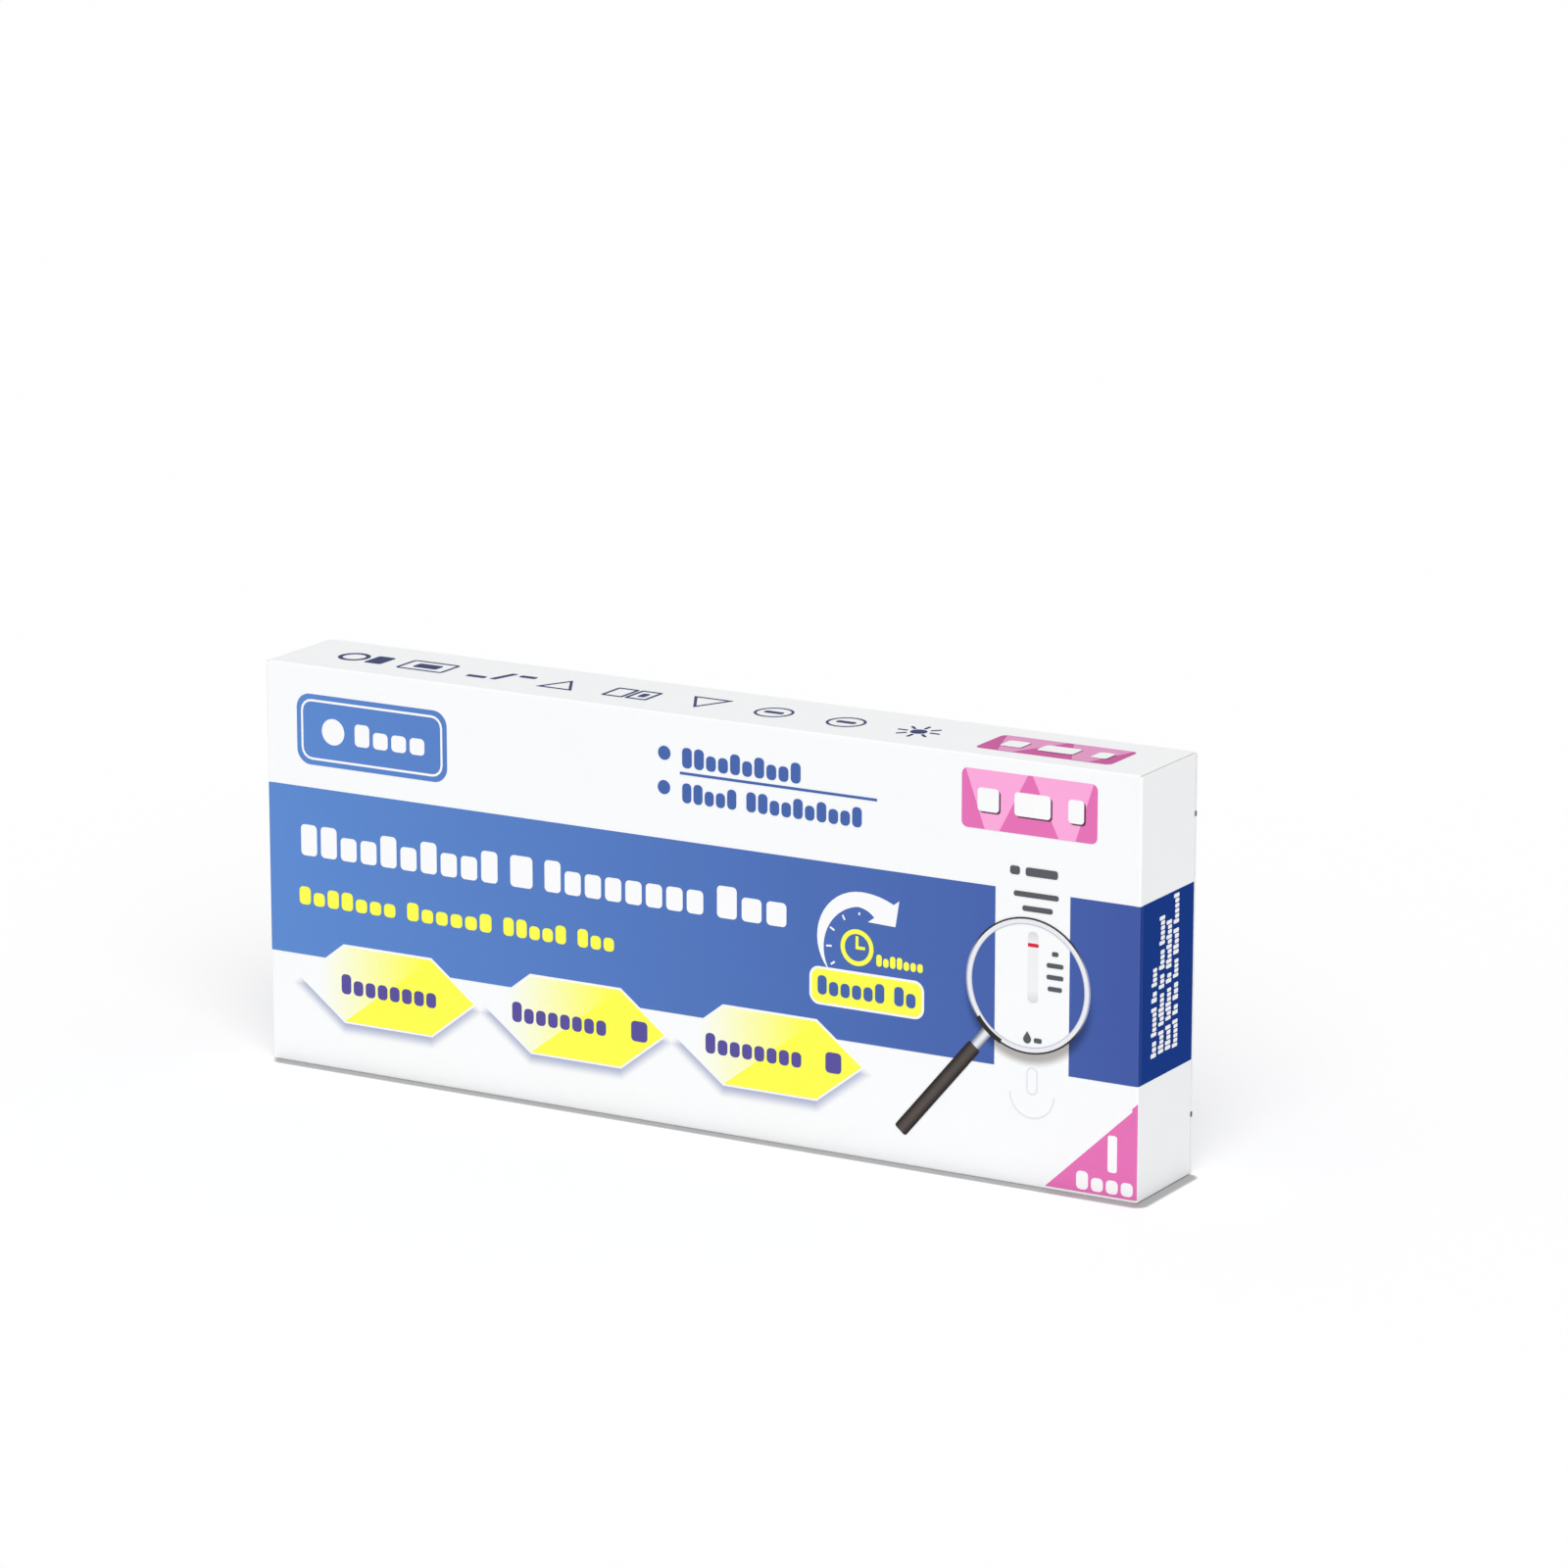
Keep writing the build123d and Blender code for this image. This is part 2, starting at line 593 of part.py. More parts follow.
def dropper_cap():
    """A ribbed push-on cap with a conical nozzle, lying on the tube."""
    bore = MOUTH_RADIUS + CAP_CLEARANCE
    skirt = bore + CAP_WALL
    shoulder = CAP_SKIRT + CAP_SHOULDER
    tip = shoulder + CAP_NOZZLE_LENGTH
    outline = Polyline(
        (0, bore),
        (0, skirt),
        (CAP_SKIRT, skirt),
        (shoulder, CAP_NOZZLE_BASE),
        (tip, CAP_NOZZLE_TIP),
        (tip, CAP_ORIFICE),
        (tip - CAP_ORIFICE_LENGTH, CAP_ORIFICE),
        (tip - CAP_ORIFICE_LENGTH, CAP_CHANNEL),
        (CAP_BORE_DEPTH, CAP_CHANNEL),
        (CAP_BORE_DEPTH, bore),
        close=True,
    )
    cap = revolve(make_face(outline), Axis.X) + cap_ribs(skirt)
    x = CONTENT_LEFT + POUCH_LENGTH + POUCH_TUBE_GAP + CAP_FROM_RIM
    z = GLUE_FLOOR + RIM_RADIUS + MOUTH_RADIUS + skirt + CAP_RIB_PROUD
    return Pos(x, ROUND_Y, z) * cap


def write(name, shape):
    """Writes one piece, or a list of solids as one piece."""
    solids = shape if isinstance(shape, list) else [shape]
    parts = [solid for item in solids for solid in item.solids()]
    export_step(parts[0] if len(parts) == 1 else Compound(children=parts), f"parts/{name}.step")


def main():
    """Makes every piece of the kit."""
    os.makedirs("parts", exist_ok=True)
    print("carton", round(CARTON_LENGTH, 3), round(CARTON_DEPTH, 3), round(CARTON_HEIGHT, 3))
    write("carton_body", carton_body())
    for make, name in ((end_flap, "end_flap"), (tuck_flap, "tuck_flap"), (end_print, "end_print")):
        right, left = both_ends(make())
        write(f"right_{name}", right)
        write(f"left_{name}", left)
    write("blue_print", blue_print())
    write("yellow_print", yellow_print())
    write("pink_print", pink_print())
    write("instruction_leaflet", leaflet())
    write("foil_pouch", foil_pouch())
    write("swab_shaft", swab_shaft())
    write("swab_tip", swab_tip())
    write("swab_wrapper_back", wrapper_sheet(BACK_PAPER))
    write("swab_wrapper_film", wrapper_film())
    write("extraction_tube", extraction_tube())
    write("extraction_liquid", extraction_liquid())
    write("tube_foil_lid", tube_lid())
    write("dropper_cap", dropper_cap())


if __name__ == "__main__":
    main()
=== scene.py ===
"""Dresses the carton of a single rapid test kit: board, inks, printed shapes, foil, film and paper.

Lengths are in metres in the frame's own axes. Places on a printed panel are given in millimetres
from that panel's lower left corner, as seen by someone who faces it.
"""

from math import atan2, cos, hypot, pi, radians, sin

import bmesh
import bpy
from bpy.props import FloatProperty, FloatVectorProperty, PointerProperty
from mathutils import Color, Matrix, Vector


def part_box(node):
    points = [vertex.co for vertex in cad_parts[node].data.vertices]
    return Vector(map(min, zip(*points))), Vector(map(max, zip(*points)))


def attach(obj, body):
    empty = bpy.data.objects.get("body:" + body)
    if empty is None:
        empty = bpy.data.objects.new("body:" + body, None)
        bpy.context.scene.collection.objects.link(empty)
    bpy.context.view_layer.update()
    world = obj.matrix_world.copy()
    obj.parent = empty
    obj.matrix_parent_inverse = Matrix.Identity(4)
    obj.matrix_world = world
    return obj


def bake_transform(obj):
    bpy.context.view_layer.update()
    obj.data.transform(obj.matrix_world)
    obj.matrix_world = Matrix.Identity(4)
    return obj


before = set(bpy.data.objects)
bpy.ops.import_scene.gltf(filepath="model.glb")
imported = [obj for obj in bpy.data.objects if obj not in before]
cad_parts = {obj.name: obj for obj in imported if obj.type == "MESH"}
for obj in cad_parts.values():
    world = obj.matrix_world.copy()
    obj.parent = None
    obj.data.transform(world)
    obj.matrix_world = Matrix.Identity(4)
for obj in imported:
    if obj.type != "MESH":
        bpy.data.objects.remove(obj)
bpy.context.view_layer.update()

bl_info = {
    "name": "Test kit carton finishes",
    "version": (1, 0, 0),
    "blender": (4, 5, 0),
    "location": "View3D > Sidebar > Carton",
    "description": "Finishes and printed shapes for the carton of a rapid test kit",
    "category": "Object",
}

MM = 0.001
BOARD_LOW, BOARD_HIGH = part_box("carton_body")
INK = BOARD_LOW.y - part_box("blue_print")[0].y
LENGTH = (BOARD_HIGH.x - BOARD_LOW.x) / MM
HEIGHT = (BOARD_HIGH.z - BOARD_LOW.z) / MM

# The band and the hexagons, as they are printed
BAND_BOTTOM, BAND_TOP = 22.1, 55.8
HEXAGON_LENGTH, HEXAGON_FLAT, HEXAGON_HEIGHT = 39.5, 20.0, 15.0
HEXAGON_LEFT, HEXAGON_BOTTOM, HEXAGON_PITCH = 7.4, 9.9, 42.8

# The height of the lower nick in each end flap, and where the tuck's crease starts above it
NICK_LEVEL, SLIT_END = 11.5, 12.2

# Rows of words, each as its bottom, its top, a letter's pitch and the two ends of each word
TITLE = (42.1, 48.3, 4.4, ((7.5, 52.7), (55.6, 60.6), (63.3, 98.4), (101.4, 116.4)))
SUBTITLE = (32.2, 35.8, 3.1, ((6.9, 29.2), (31.9, 51.2), (53.9, 68.0), (70.6, 78.7)))
SCREENING = (
    (69.9, 73.8, 2.6, ((93.9, 119.4),)),
    (63.2, 67.0, 2.5, ((93.9, 105.6), (107.8, 132.4))),
)
HEXAGON_WORDS = (((16.4, 38.3),), ((55.7, 76.8), (82.4, 86.0)), ((98.8, 119.6), (124.8, 128.2)))
LABEL_WORDS = (30.3, 34.0, 2.4, ((123.1, 137.3), (139.4, 143.9)))
CLOCK_WORDS = (37.3, 39.6, 1.45, ((135.6, 145.4),))
CORNER_WORDS = (1.1, 4.6, 3.1, ((177.6, 189.2),))
EMBLEM_WORD = (65.2, 69.6, 4.0, ((20.4, 36.4),))

# Rows of plain bars, each as its bottom, its top, the two ends of each bar and its corners' radius
CASSETTE_WORDS = (
    (58.6, 60.2, ((163.4, 165.4), (166.6, 173.2)), 0.5),
    (54.6, 55.6, ((164.2, 173.4),), 0.4),
    (52.0, 53.0, ((166.0, 172.2),), 0.4),
    (44.2, 45.05, ((172.15, 173.45),), 0.3),
    (42.0, 42.85, ((171.1, 174.5),), 0.3),
    (39.8, 40.65, ((171.1, 174.5),), 0.3),
    (37.6, 38.45, ((171.35, 174.25),), 0.3),
    (27.4, 28.3, ((168.6, 170.2),), 0.3),
)
BACK_WORDS = (
    (45.4, 50.6, ((12.0, 52.0), (55.0, 88.0)), 1.2),
    (38.4, 40.4, ((12.0, 30.0), (32.0, 58.0), (60.0, 92.0)), 0.8),
    (33.8, 35.8, ((12.0, 44.0), (46.0, 62.0), (64.0, 84.0)), 0.8),
    (29.2, 31.2, ((12.0, 26.0), (28.0, 56.0), (58.0, 74.0)), 0.8),
)

# The badges: the spans of their words, their facets as the ends of each one's top and foot from the
# badge's left edge, and where that edge is
BADGE_WORDS = ((156.6, 161.0), (164.2, 171.6), (175.2, 178.4))
BADGE_FACETS = ((0.8, 4.8, 7.8, 13.6), (14.6, 20.0, 23.4, 27.0))
BADGE_LEFT = LENGTH - 36.7

# The round mark with rays on the top panel, and the lines of words on the right end: for each line
# where it stands across the end, and then where its words start and stop up the end
BURST_CENTRE = (138.6, 10.2)
END_LINES = (
    (6.8, ((26.2, 29.2), (30.2, 35.6), (36.6, 38.6), (39.6, 43.0))),
    (9.7, ((26.4, 30.6), (31.6, 37.6), (38.6, 41.2), (42.2, 45.8), (46.8, 52.2))),
    (12.5, ((26.4, 31.0), (32.0, 38.0), (39.0, 40.8), (41.8, 50.8))),
    (15.3, ((26.2, 31.4), (32.4, 34.2), (35.2, 38.4), (39.4, 42.8), (43.8, 48.6), (49.6, 55.2))),
)

# The clock arrow beside the title: where its tail ends, then its outer and inner edge as arcs,
# each with its centre and how far it turns, then the three corners of its head
ARROW_TAIL = (125.5, 35.2)
ARROW_OUTER = (((132.4, 41.6), -132.9), ((132.4, 35.5), -28.0))
ARROW_INNER = (((133.0, 39.6), -110.6), ((131.5, 43.2), -52.0))
ARROW_HEAD = ((140.4, 50.3), (139.6, 45.3), (133.8, 45.5))
DIAL_CENTRE = (131.5, 40.3)
DIAL_MARKS = ((215, 5.8, 1.0), (184, 5.4, 1.2), (151, 5.5, 1.1), (118, 5.6, 1.0), (86, 6.3, 0.5))

# The pink corner, carried on over the fold: its top at the carton's end and its slope
CORNER_TOP, CORNER_SLOPE = 18.9, 17.6 / 18.8

# The pictured cassette and the lens over it
CASSETTE_MIDDLE = 168.3
CASSETTE_BOTTOM, CASSETTE_ROUND = 12.9, 4.7
WINDOW_BOTTOM, WINDOW_TOP = 34.9, 48.3
LENS_CENTRE = (167.3, 38.0)
LENS_RADIUS = 12.6
HANDLE_START, HANDLE_COLLAR, HANDLE_END = (159.2, 28.6), (156.35, 25.05), (140.75, 6.6)


def screen(red, green, blue):
    """A colour as it is read on a screen, from 0 to 255, as a property's default."""
    return (red / 255, green / 255, blue / 255)


def ink_property(name, description, colour):
    """A colour that a user may change, held as it looks on a screen."""
    return FloatVectorProperty(
        name=name, description=description, subtype="COLOR_GAMMA", size=3, min=0.0, max=1.0, default=colour
    )


def length_property(name, description, default):
    """A length that a user may change, in metres."""
    return FloatProperty(
        name=name, description=description, subtype="DISTANCE", unit="LENGTH", default=default
    )


class CartonInks(bpy.types.PropertyGroup):
    """The colours of the board, its inks and what the carton holds."""

    board: ink_property("Board", "Coated outside of the board", screen(251, 252, 253))
    board_inside: ink_property("Board inside", "Uncoated inside of the board", screen(226, 223, 214))
    band_left: ink_property("Band, left", "The band at the display panel's left edge", screen(96, 140, 209))
    band_right: ink_property("Band, right", "The band at the display panel's right edge", screen(69, 92, 165))
    end_band: ink_property("End band", "The band on the end flaps", screen(14, 56, 136))
    shadow: ink_property("Printed shadow", "Soft shade printed under the hexagons", screen(152, 160, 196))
    lens_shadow: ink_property("Lens shadow", "Soft shade printed under the lens", screen(184, 180, 177))
    gloss: FloatProperty(
        name="Gloss", description="Strength of the inks' shine", min=0.0, max=1.0, default=0.05
    )
    yellow: ink_property("Yellow", "The hexagons and the label", screen(255, 255, 84))
    pink: ink_property("Pink", "The display panel's badge and the corner", screen(231, 117, 184))
    top_pink: ink_property("Top pink", "The top panel's badge", screen(200, 82, 155))
    light_pink: ink_property("Light pink", "The facets of the display panel's badge", screen(253, 172, 221))
    top_light_pink: ink_property("Top light pink", "Facets of the top panel's badge", screen(229, 152, 198))
    paper_white: ink_property("Paper white", "Words left white in an ink", screen(252, 252, 253))
    violet: ink_property("Violet", "Words on the hexagons", screen(92, 84, 158))
    word_blue: ink_property("Word blue", "Words on the bare board", screen(74, 104, 172))
    symbol_blue: ink_property("Symbol blue", "Small shapes on the top panel", screen(18, 38, 96))
    grey: ink_property("Grey", "Words on the pictured cassette", screen(92, 94, 100))
    pale_grey: ink_property("Pale grey", "Edges of the pictured cassette", screen(231, 233, 238))
    red: ink_property("Red", "The line in the pictured window", screen(222, 44, 66))
    handle: ink_property("Handle", "The pictured lens's handle", screen(48, 43, 41))
    rim: ink_property("Rim", "The pictured lens's dark outline", screen(54, 51, 51))
    # Painted shade: the dark colour laid on the board where the tuck's slits end, in place of the shade in
    # each nick's gap
    painted_slit_shade: ink_property("Slit", "The marks where the tuck's slits end", screen(70, 70, 74))
    leaflet: ink_property("Leaflet", "The leaflet's paper", screen(243, 242, 236))
    foil: ink_property("Foil", "The pouch and the tube's lid", screen(206, 208, 212))


class CartonSizes(bpy.types.PropertyGroup):
    """The small sizes of the print and the creases."""

    layer: length_property("Layer", "How much each printed layer stands over the one below it", 0.02 * MM)
    word_corner: length_property("Word corner", "Corner radius of a letter's block", 0.85 * MM)
    crease_reach: length_property("Crease reach", "How far a crease strip runs beside its fold", 0.8 * MM)
    fold_radius: length_property("Fold radius", "Outer radius of the folds", 0.3 * MM)
    fibre: length_property("Fibre", "Size of the board's fibre clumps", 0.6 * MM)


class CartonStage(bpy.types.PropertyGroup):
    """The camera, the lamps and the floor."""

    camera_place: FloatVectorProperty(
        name="Camera", description="Where the camera stands", subtype="TRANSLATION", unit="LENGTH",
        default=(0.60223, -1.00675, 0.34991),
    )
    camera_turn: FloatProperty(
        name="Turn", description="Turn about the vertical", subtype="ANGLE", default=radians(30.279)
    )
    camera_tilt: FloatProperty(
        name="Tilt", description="How far the camera looks down", subtype="ANGLE", default=radians(13.670)
    )
    lens: FloatProperty(name="Lens", description="Focal length in millimetres", default=147.49, min=1.0)
    floor_size: length_property("Floor", "Side of the floor", 8.0)
    world_light: FloatProperty(
        name="World light", description="Strength of the even light", default=0.58, min=0.0
    )
    key_light: FloatProperty(
        name="Key light", description="Strength of the soft key light", default=1.47, min=0.0
    )
    key_from: FloatVectorProperty(
        name="Key from", description="Where the key light comes from", subtype="DIRECTION",
        default=(0.37, -0.64, 0.68),
    )
    key_softness: FloatProperty(
        name="Softness", description="How wide the key light looks", subtype="ANGLE", default=radians(50)
    )
    # Painted contact shade on the floor beside the carton: how far it runs, and its colour
    painted_contact_reach: length_property("Contact reach", "How far the contact shade runs", 3.0 * MM)
    contact: ink_property("Contact shade", "The floor's colour beside the carton", screen(176, 176, 177))


def linear(colour):
    """A screen colour as the shader's own linear colour with full alpha."""
    return (*Color(colour).from_srgb_to_scene_linear(), 1.0)


# Shader helpers


def wire(tree, kind, inputs=None, **settings):
    """Adds a node, sets it up, and gives its inputs a value or the socket that feeds them."""
    made = tree.nodes.new(kind)
    for name, value in settings.items():
        setattr(made, name, value)
    for key, value in (inputs or {}).items():
        if isinstance(value, bpy.types.NodeSocket):
            tree.links.new(value, made.inputs[key])
        else:
            made.inputs[key].default_value = value
    return made


def maths(tree, operation, first, second=0.0):
    """One step of arithmetic, as its output socket."""
    return wire(tree, "ShaderNodeMath", {0: first, 1: second}, operation=operation).outputs[0]


def product(tree, first, *others):
    """Values multiplied together, as the output socket."""
    for other in others:
        first = maths(tree, "MULTIPLY", first, other)
    return first


def vector(tree, operation, first, second=(0.0, 0.0, 0.0), output=0):
    """One step of vector arithmetic, as its output socket."""
    return wire(tree, "ShaderNodeVectorMath", {0: first, 1: second}, operation=operation).outputs[output]


def here(tree):
    """The point's place on the unmoved object."""
    return wire(tree, "ShaderNodeTexCoord").outputs["Object"]


def split(tree, value):
    """A vector's three parts, as a node's outputs."""
    return wire(tree, "ShaderNodeSeparateXYZ", {0: value}).outputs


def noise(tree, place, scale, detail, roughness=0.5):
    """Soft noise, as its output socket."""
    inputs = {"Vector": place, "Scale": scale, "Detail": detail, "Roughness": roughness}
    return wire(tree, "ShaderNodeTexNoise", inputs).outputs["Fac"]


def spread(tree, value, start, end, low=0.0, high=1.0):
    """A value that goes from low to high, laid out from start to end."""
    inputs = {"Value": value, "From Min": low, "From Max": high, "To Min": start, "To Max": end}
    return wire(tree, "ShaderNodeMapRange", inputs).outputs["Result"]


def ramp(tree, value, low, high):
    """A smooth step from 0 at low to 1 at high."""
    inputs = {"Value": value, "From Min": low, "From Max": high}
    return wire(tree, "ShaderNodeMapRange", inputs, interpolation_type="SMOOTHSTEP").outputs["Result"]


def mixed(tree, factor, first, second, mode="MIX"):
    """Two colours mixed, as the output socket."""
    inputs = {0: factor, 6: first, 7: second}
    return wire(tree, "ShaderNodeMix", inputs, data_type="RGBA", blend_type=mode).outputs[2]


def new_group(name, inputs, outputs):
    """A shader group with named inputs, each with its default, and named outputs."""
    tree = bpy.data.node_groups.new(name, "ShaderNodeTree")
    for label, default in inputs.items():
        kind = "NodeSocketVector" if isinstance(default, tuple) else "NodeSocketFloat"
        socket = tree.interface.new_socket(label, in_out="INPUT", socket_type=kind)
        socket.default_value = default
    for label in outputs:
        tree.interface.new_socket(label, in_out="OUTPUT", socket_type="NodeSocketFloat")
    return tree, tree.nodes.new("NodeGroupInput"), tree.nodes.new("NodeGroupOutput")


def fibre_group():
    """Paper fibre: a slight unevenness of shade and a fine height, at a given size."""
    tree, given, out = new_group("Paper fibre", {"Size": 0.0006, "Unevenness": 0.02}, ("Shade", "Height"))
    place = here(tree)
    scale = maths(tree, "DIVIDE", 1.0, given.outputs["Size"])
    fine = noise(tree, place, scale, 4.0, 0.6)
    broad = noise(tree, place, maths(tree, "MULTIPLY", scale, 0.06), 2.0)
    both = maths(tree, "ADD", fine, broad)
    uneven = maths(tree, "MULTIPLY", maths(tree, "SUBTRACT", both, 1.0), given.outputs["Unevenness"])
    tree.links.new(maths(tree, "ADD", uneven, 1.0), out.inputs["Shade"])
    tree.links.new(fine, out.inputs["Height"])
    return tree


def outside_group():
    """Which side of the board a point is on: 1 on the outer skin of a box, 0 inside it."""
    inputs = {"Low": (0.0, 0.0, 0.0), "High": (0.0, 0.0, 0.0)}
    tree, given, out = new_group("Outer side", inputs, ("Mask",))
    point = split(tree, here(tree))
    low = split(tree, given.outputs["Low"])
    high = split(tree, given.outputs["High"])
    total = None
    for axis in range(3):
        under = maths(tree, "LESS_THAN", point[axis], low[axis])
        over = maths(tree, "GREATER_THAN", point[axis], high[axis])
        side = maths(tree, "MAXIMUM", under, over)
        total = side if total is None else maths(tree, "MAXIMUM", total, side)
    tree.links.new(total, out.inputs["Mask"])
    return tree


def hexagon_group():
    """Where a point of the display panel is in the row of hexagons: along and up from the nearest one's
    centre, in millimetres, and its signed distance from that hexagon's outline."""
    inputs = {"Shift": (0.0, 0.0, 0.0)}
    tree, given, out = new_group("Hexagon row", inputs, ("Along", "Up", "Distance"))
    point = split(tree, vector(tree, "SUBTRACT", here(tree), given.outputs["Shift"]))
    first = BOARD_LOW.x + (HEXAGON_LEFT + HEXAGON_LENGTH / 2) * MM
    from_first = maths(tree, "DIVIDE", maths(tree, "SUBTRACT", point["X"], first), MM)
    steps = maths(tree, "ROUND", maths(tree, "DIVIDE", from_first, HEXAGON_PITCH))
    cell = maths(tree, "MINIMUM", maths(tree, "MAXIMUM", steps, 0.0), 2.0)
    along = maths(tree, "SUBTRACT", from_first, maths(tree, "MULTIPLY", cell, HEXAGON_PITCH))
    middle = HEXAGON_BOTTOM + HEXAGON_HEIGHT / 2
    up = maths(tree, "SUBTRACT", maths(tree, "DIVIDE", point["Z"], MM), middle)
    rise, run = HEXAGON_HEIGHT / 2, (HEXAGON_LENGTH - HEXAGON_FLAT) / 2
    slant = hypot(rise, run)
    beyond = maths(tree, "SUBTRACT", maths(tree, "ABSOLUTE", along), HEXAGON_LENGTH / 2)
    over = maths(tree, "ABSOLUTE", up)
    slanted = maths(
        tree, "ADD", maths(tree, "MULTIPLY", beyond, rise / slant), maths(tree, "MULTIPLY", over, run / slant)
    )
    distance = maths(tree, "MAXIMUM", slanted, maths(tree, "SUBTRACT", over, HEXAGON_HEIGHT / 2))
    for label, socket in (("Along", along), ("Up", up), ("Distance", distance)):
        tree.links.new(socket, out.inputs[label])
    return tree


GROUPS = {}


def group(tree, maker, **values):
    """Places a shared group in a material with its values, and makes it the first time."""
    if maker not in GROUPS:
        GROUPS[maker] = maker()
    made = wire(tree, "ShaderNodeGroup", node_tree=GROUPS[maker])
    for name, value in values.items():
        made.inputs[name].default_value = value
    return made.outputs


def new_material(name, gloss=0.5):
    """An empty node material and its Principled shader, with how strongly it shines."""
    material = bpy.data.materials.new(name)
    material.use_nodes = True
    tree = material.node_tree
    shader = tree.nodes["Principled BSDF"]
    shader.inputs["Specular IOR Level"].default_value = gloss
    return material, tree, shader


def paper_bump(tree, shader, fibre, strength, distance=0.00002):
    """A fine paper surface on a shader."""
    inputs = {"Height": fibre["Height"], "Strength": strength, "Distance": distance}
    tree.links.new(wire(tree, "ShaderNodeBump", inputs).outputs["Normal"], shader.inputs["Normal"])


def paper_colour(tree, shader, fibre, colour):
    """A colour on a shader, with the fibre's unevenness in it."""
    uneven = mixed(tree, 1.0, colour, fibre["Shade"], "MULTIPLY")
    tree.links.new(uneven, shader.inputs["Base Color"])


def printed_shade(tree, colour, inks, strength):
    """A colour of the display panel under the soft shades printed below the hexagons and the lens."""
    row = group(tree, hexagon_group, Shift=(-0.1 * MM, 0.0, -1.3 * MM))
    own = group(tree, hexagon_group)
    outside = maths(tree, "GREATER_THAN", own["Distance"], 0.4)
    under_row = maths(tree, "MULTIPLY", ramp(tree, row["Distance"], 1.8, -1.0), outside)
    place = here(tree)
    point = split(tree, place)
    on_display = maths(tree, "LESS_THAN", point["Y"], BOARD_LOW.y + 0.1 * MM)
    x, z = LENS_CENTRE[0] * MM + BOARD_LOW.x, LENS_CENTRE[1] * MM
    off_ring = off_circle(tree, place, x, z)
    off_shade = off_circle(tree, place, x + 0.2 * MM, z - 1.5 * MM)
    beyond = maths(tree, "GREATER_THAN", off_ring, -0.5)
    lower = ramp(tree, point["Z"], z + 0.3 * LENS_RADIUS * MM, z - 0.8 * LENS_RADIUS * MM)
    under_lens = product(tree, ramp(tree, off_shade, 1.6, -0.4), lower, beyond)
    share = product(tree, under_row, on_display, strength)
    tint = mixed(tree, share, (1.0, 1.0, 1.0, 1.0), linear(inks.shadow))
    tint = mixed(tree, maths(tree, "MULTIPLY", under_lens, on_display), tint, linear(inks.lens_shadow))
    return mixed(tree, 1.0, colour, tint, "MULTIPLY")


def off_circle(tree, place, x, z):
    """How far a point of the display panel is outside a circle of the lens's size, in millimetres."""
    flat = vector(tree, "MULTIPLY", place, (1.0, 0.0, 1.0))
    away = vector(tree, "DISTANCE", flat, (x, 0.0, z), "Value")
    return maths(tree, "SUBTRACT", maths(tree, "DIVIDE", away, MM), LENS_RADIUS)


def finish_ink(tree, shader, colour, sizes, unevenness=0.03, bump=0.25):
    """Lays a colour socket on a shader as ink over board, with the board's unevenness showing through."""
    fibre = group(tree, fibre_group, Size=sizes.fibre, Unevenness=unevenness)
    paper_colour(tree, shader, fibre, colour)
    tree.links.new(spread(tree, fibre["Height"], 0.36, 0.5), shader.inputs["Roughness"])
    paper_bump(tree, shader, fibre, bump)


def ink_material(name, colour, inks, sizes, shine=1.0):
    """One flat ink over coated board, with its shine as a share of the usual one."""
    material, tree, shader = new_material(name, inks.gloss * shine)
    finish_ink(tree, shader, linear(colour), sizes)
    return material


def pink_material(inks, sizes):
    """The badges' ink, darker on the top panel."""
    material, tree, shader = new_material("pink_ink", inks.gloss)
    height = split(tree, here(tree))["Z"]
    on_top = maths(tree, "GREATER_THAN", height, BOARD_HIGH.z - 0.1 * MM)
    finish_ink(tree, shader, mixed(tree, on_top, linear(inks.pink), linear(inks.top_pink)), sizes)
    return material


def board_material(name, inks, sizes, low, high):
    """Board that is coated outside the given box and bare inside it."""
    material, tree, shader = new_material(name, inks.gloss)
    fibre = group(tree, fibre_group, Size=sizes.fibre, Unevenness=0.02)
    outer = group(tree, outside_group, Low=tuple(low), High=tuple(high))["Mask"]
    coated = printed_shade(tree, linear(inks.board), inks, 0.8)
    # Painted shade: the board beside each nick is coloured dark grey in place of the shade in the gap behind
    # it
    coated = mixed(tree, slit_shade_mask(tree), coated, linear(inks.painted_slit_shade))
    side = mixed(tree, outer, linear(inks.board_inside), coated)
    paper_colour(tree, shader, fibre, side)
    tree.links.new(spread(tree, outer, 0.85, 0.42), shader.inputs["Roughness"])
    paper_bump(tree, shader, fibre, 0.3)
    return material


def slit_shade_mask(tree):
    """Painted shade: 1 on the rear panel's end edge beside the two nicks of each end flap, where the board is
    coloured dark in place of the shade in each nick's gap.
    """
    point = split(tree, here(tree))
    at_end = maths(tree, "GREATER_THAN", maths(tree, "ABSOLUTE", point["X"]), BOARD_HIGH.x - 0.1 * MM)
    at_rear = maths(tree, "GREATER_THAN", point["Y"], BOARD_HIGH.y - 0.45 * MM)
    from_middle = maths(tree, "ABSOLUTE", maths(tree, "SUBTRACT", point["Z"], HEIGHT / 2 * MM))
    from_nick = maths(tree, "ABSOLUTE", maths(tree, "SUBTRACT", from_middle, (HEIGHT / 2 - NICK_LEVEL) * MM))
    beside = maths(tree, "LESS_THAN", from_nick, 0.5 * MM)
    return product(tree, at_end, at_rear, beside)


def band_colour(tree, inks):
    """The band's colour along the display panel."""
    along = split(tree, here(tree))["X"]
    fade = spread(tree, along, 0.0, 1.0, BOARD_LOW.x, BOARD_HIGH.x)
    return mixed(tree, fade, linear(inks.band_left), linear(inks.band_right))


def band_material(inks, sizes):
    """The band's ink, with the hexagons' soft printed shadow on it."""
    material, tree, shader = new_material("band_ink", inks.gloss)
    finish_ink(tree, shader, printed_shade(tree, band_colour(tree, inks), inks, 0.5), sizes)
    return material


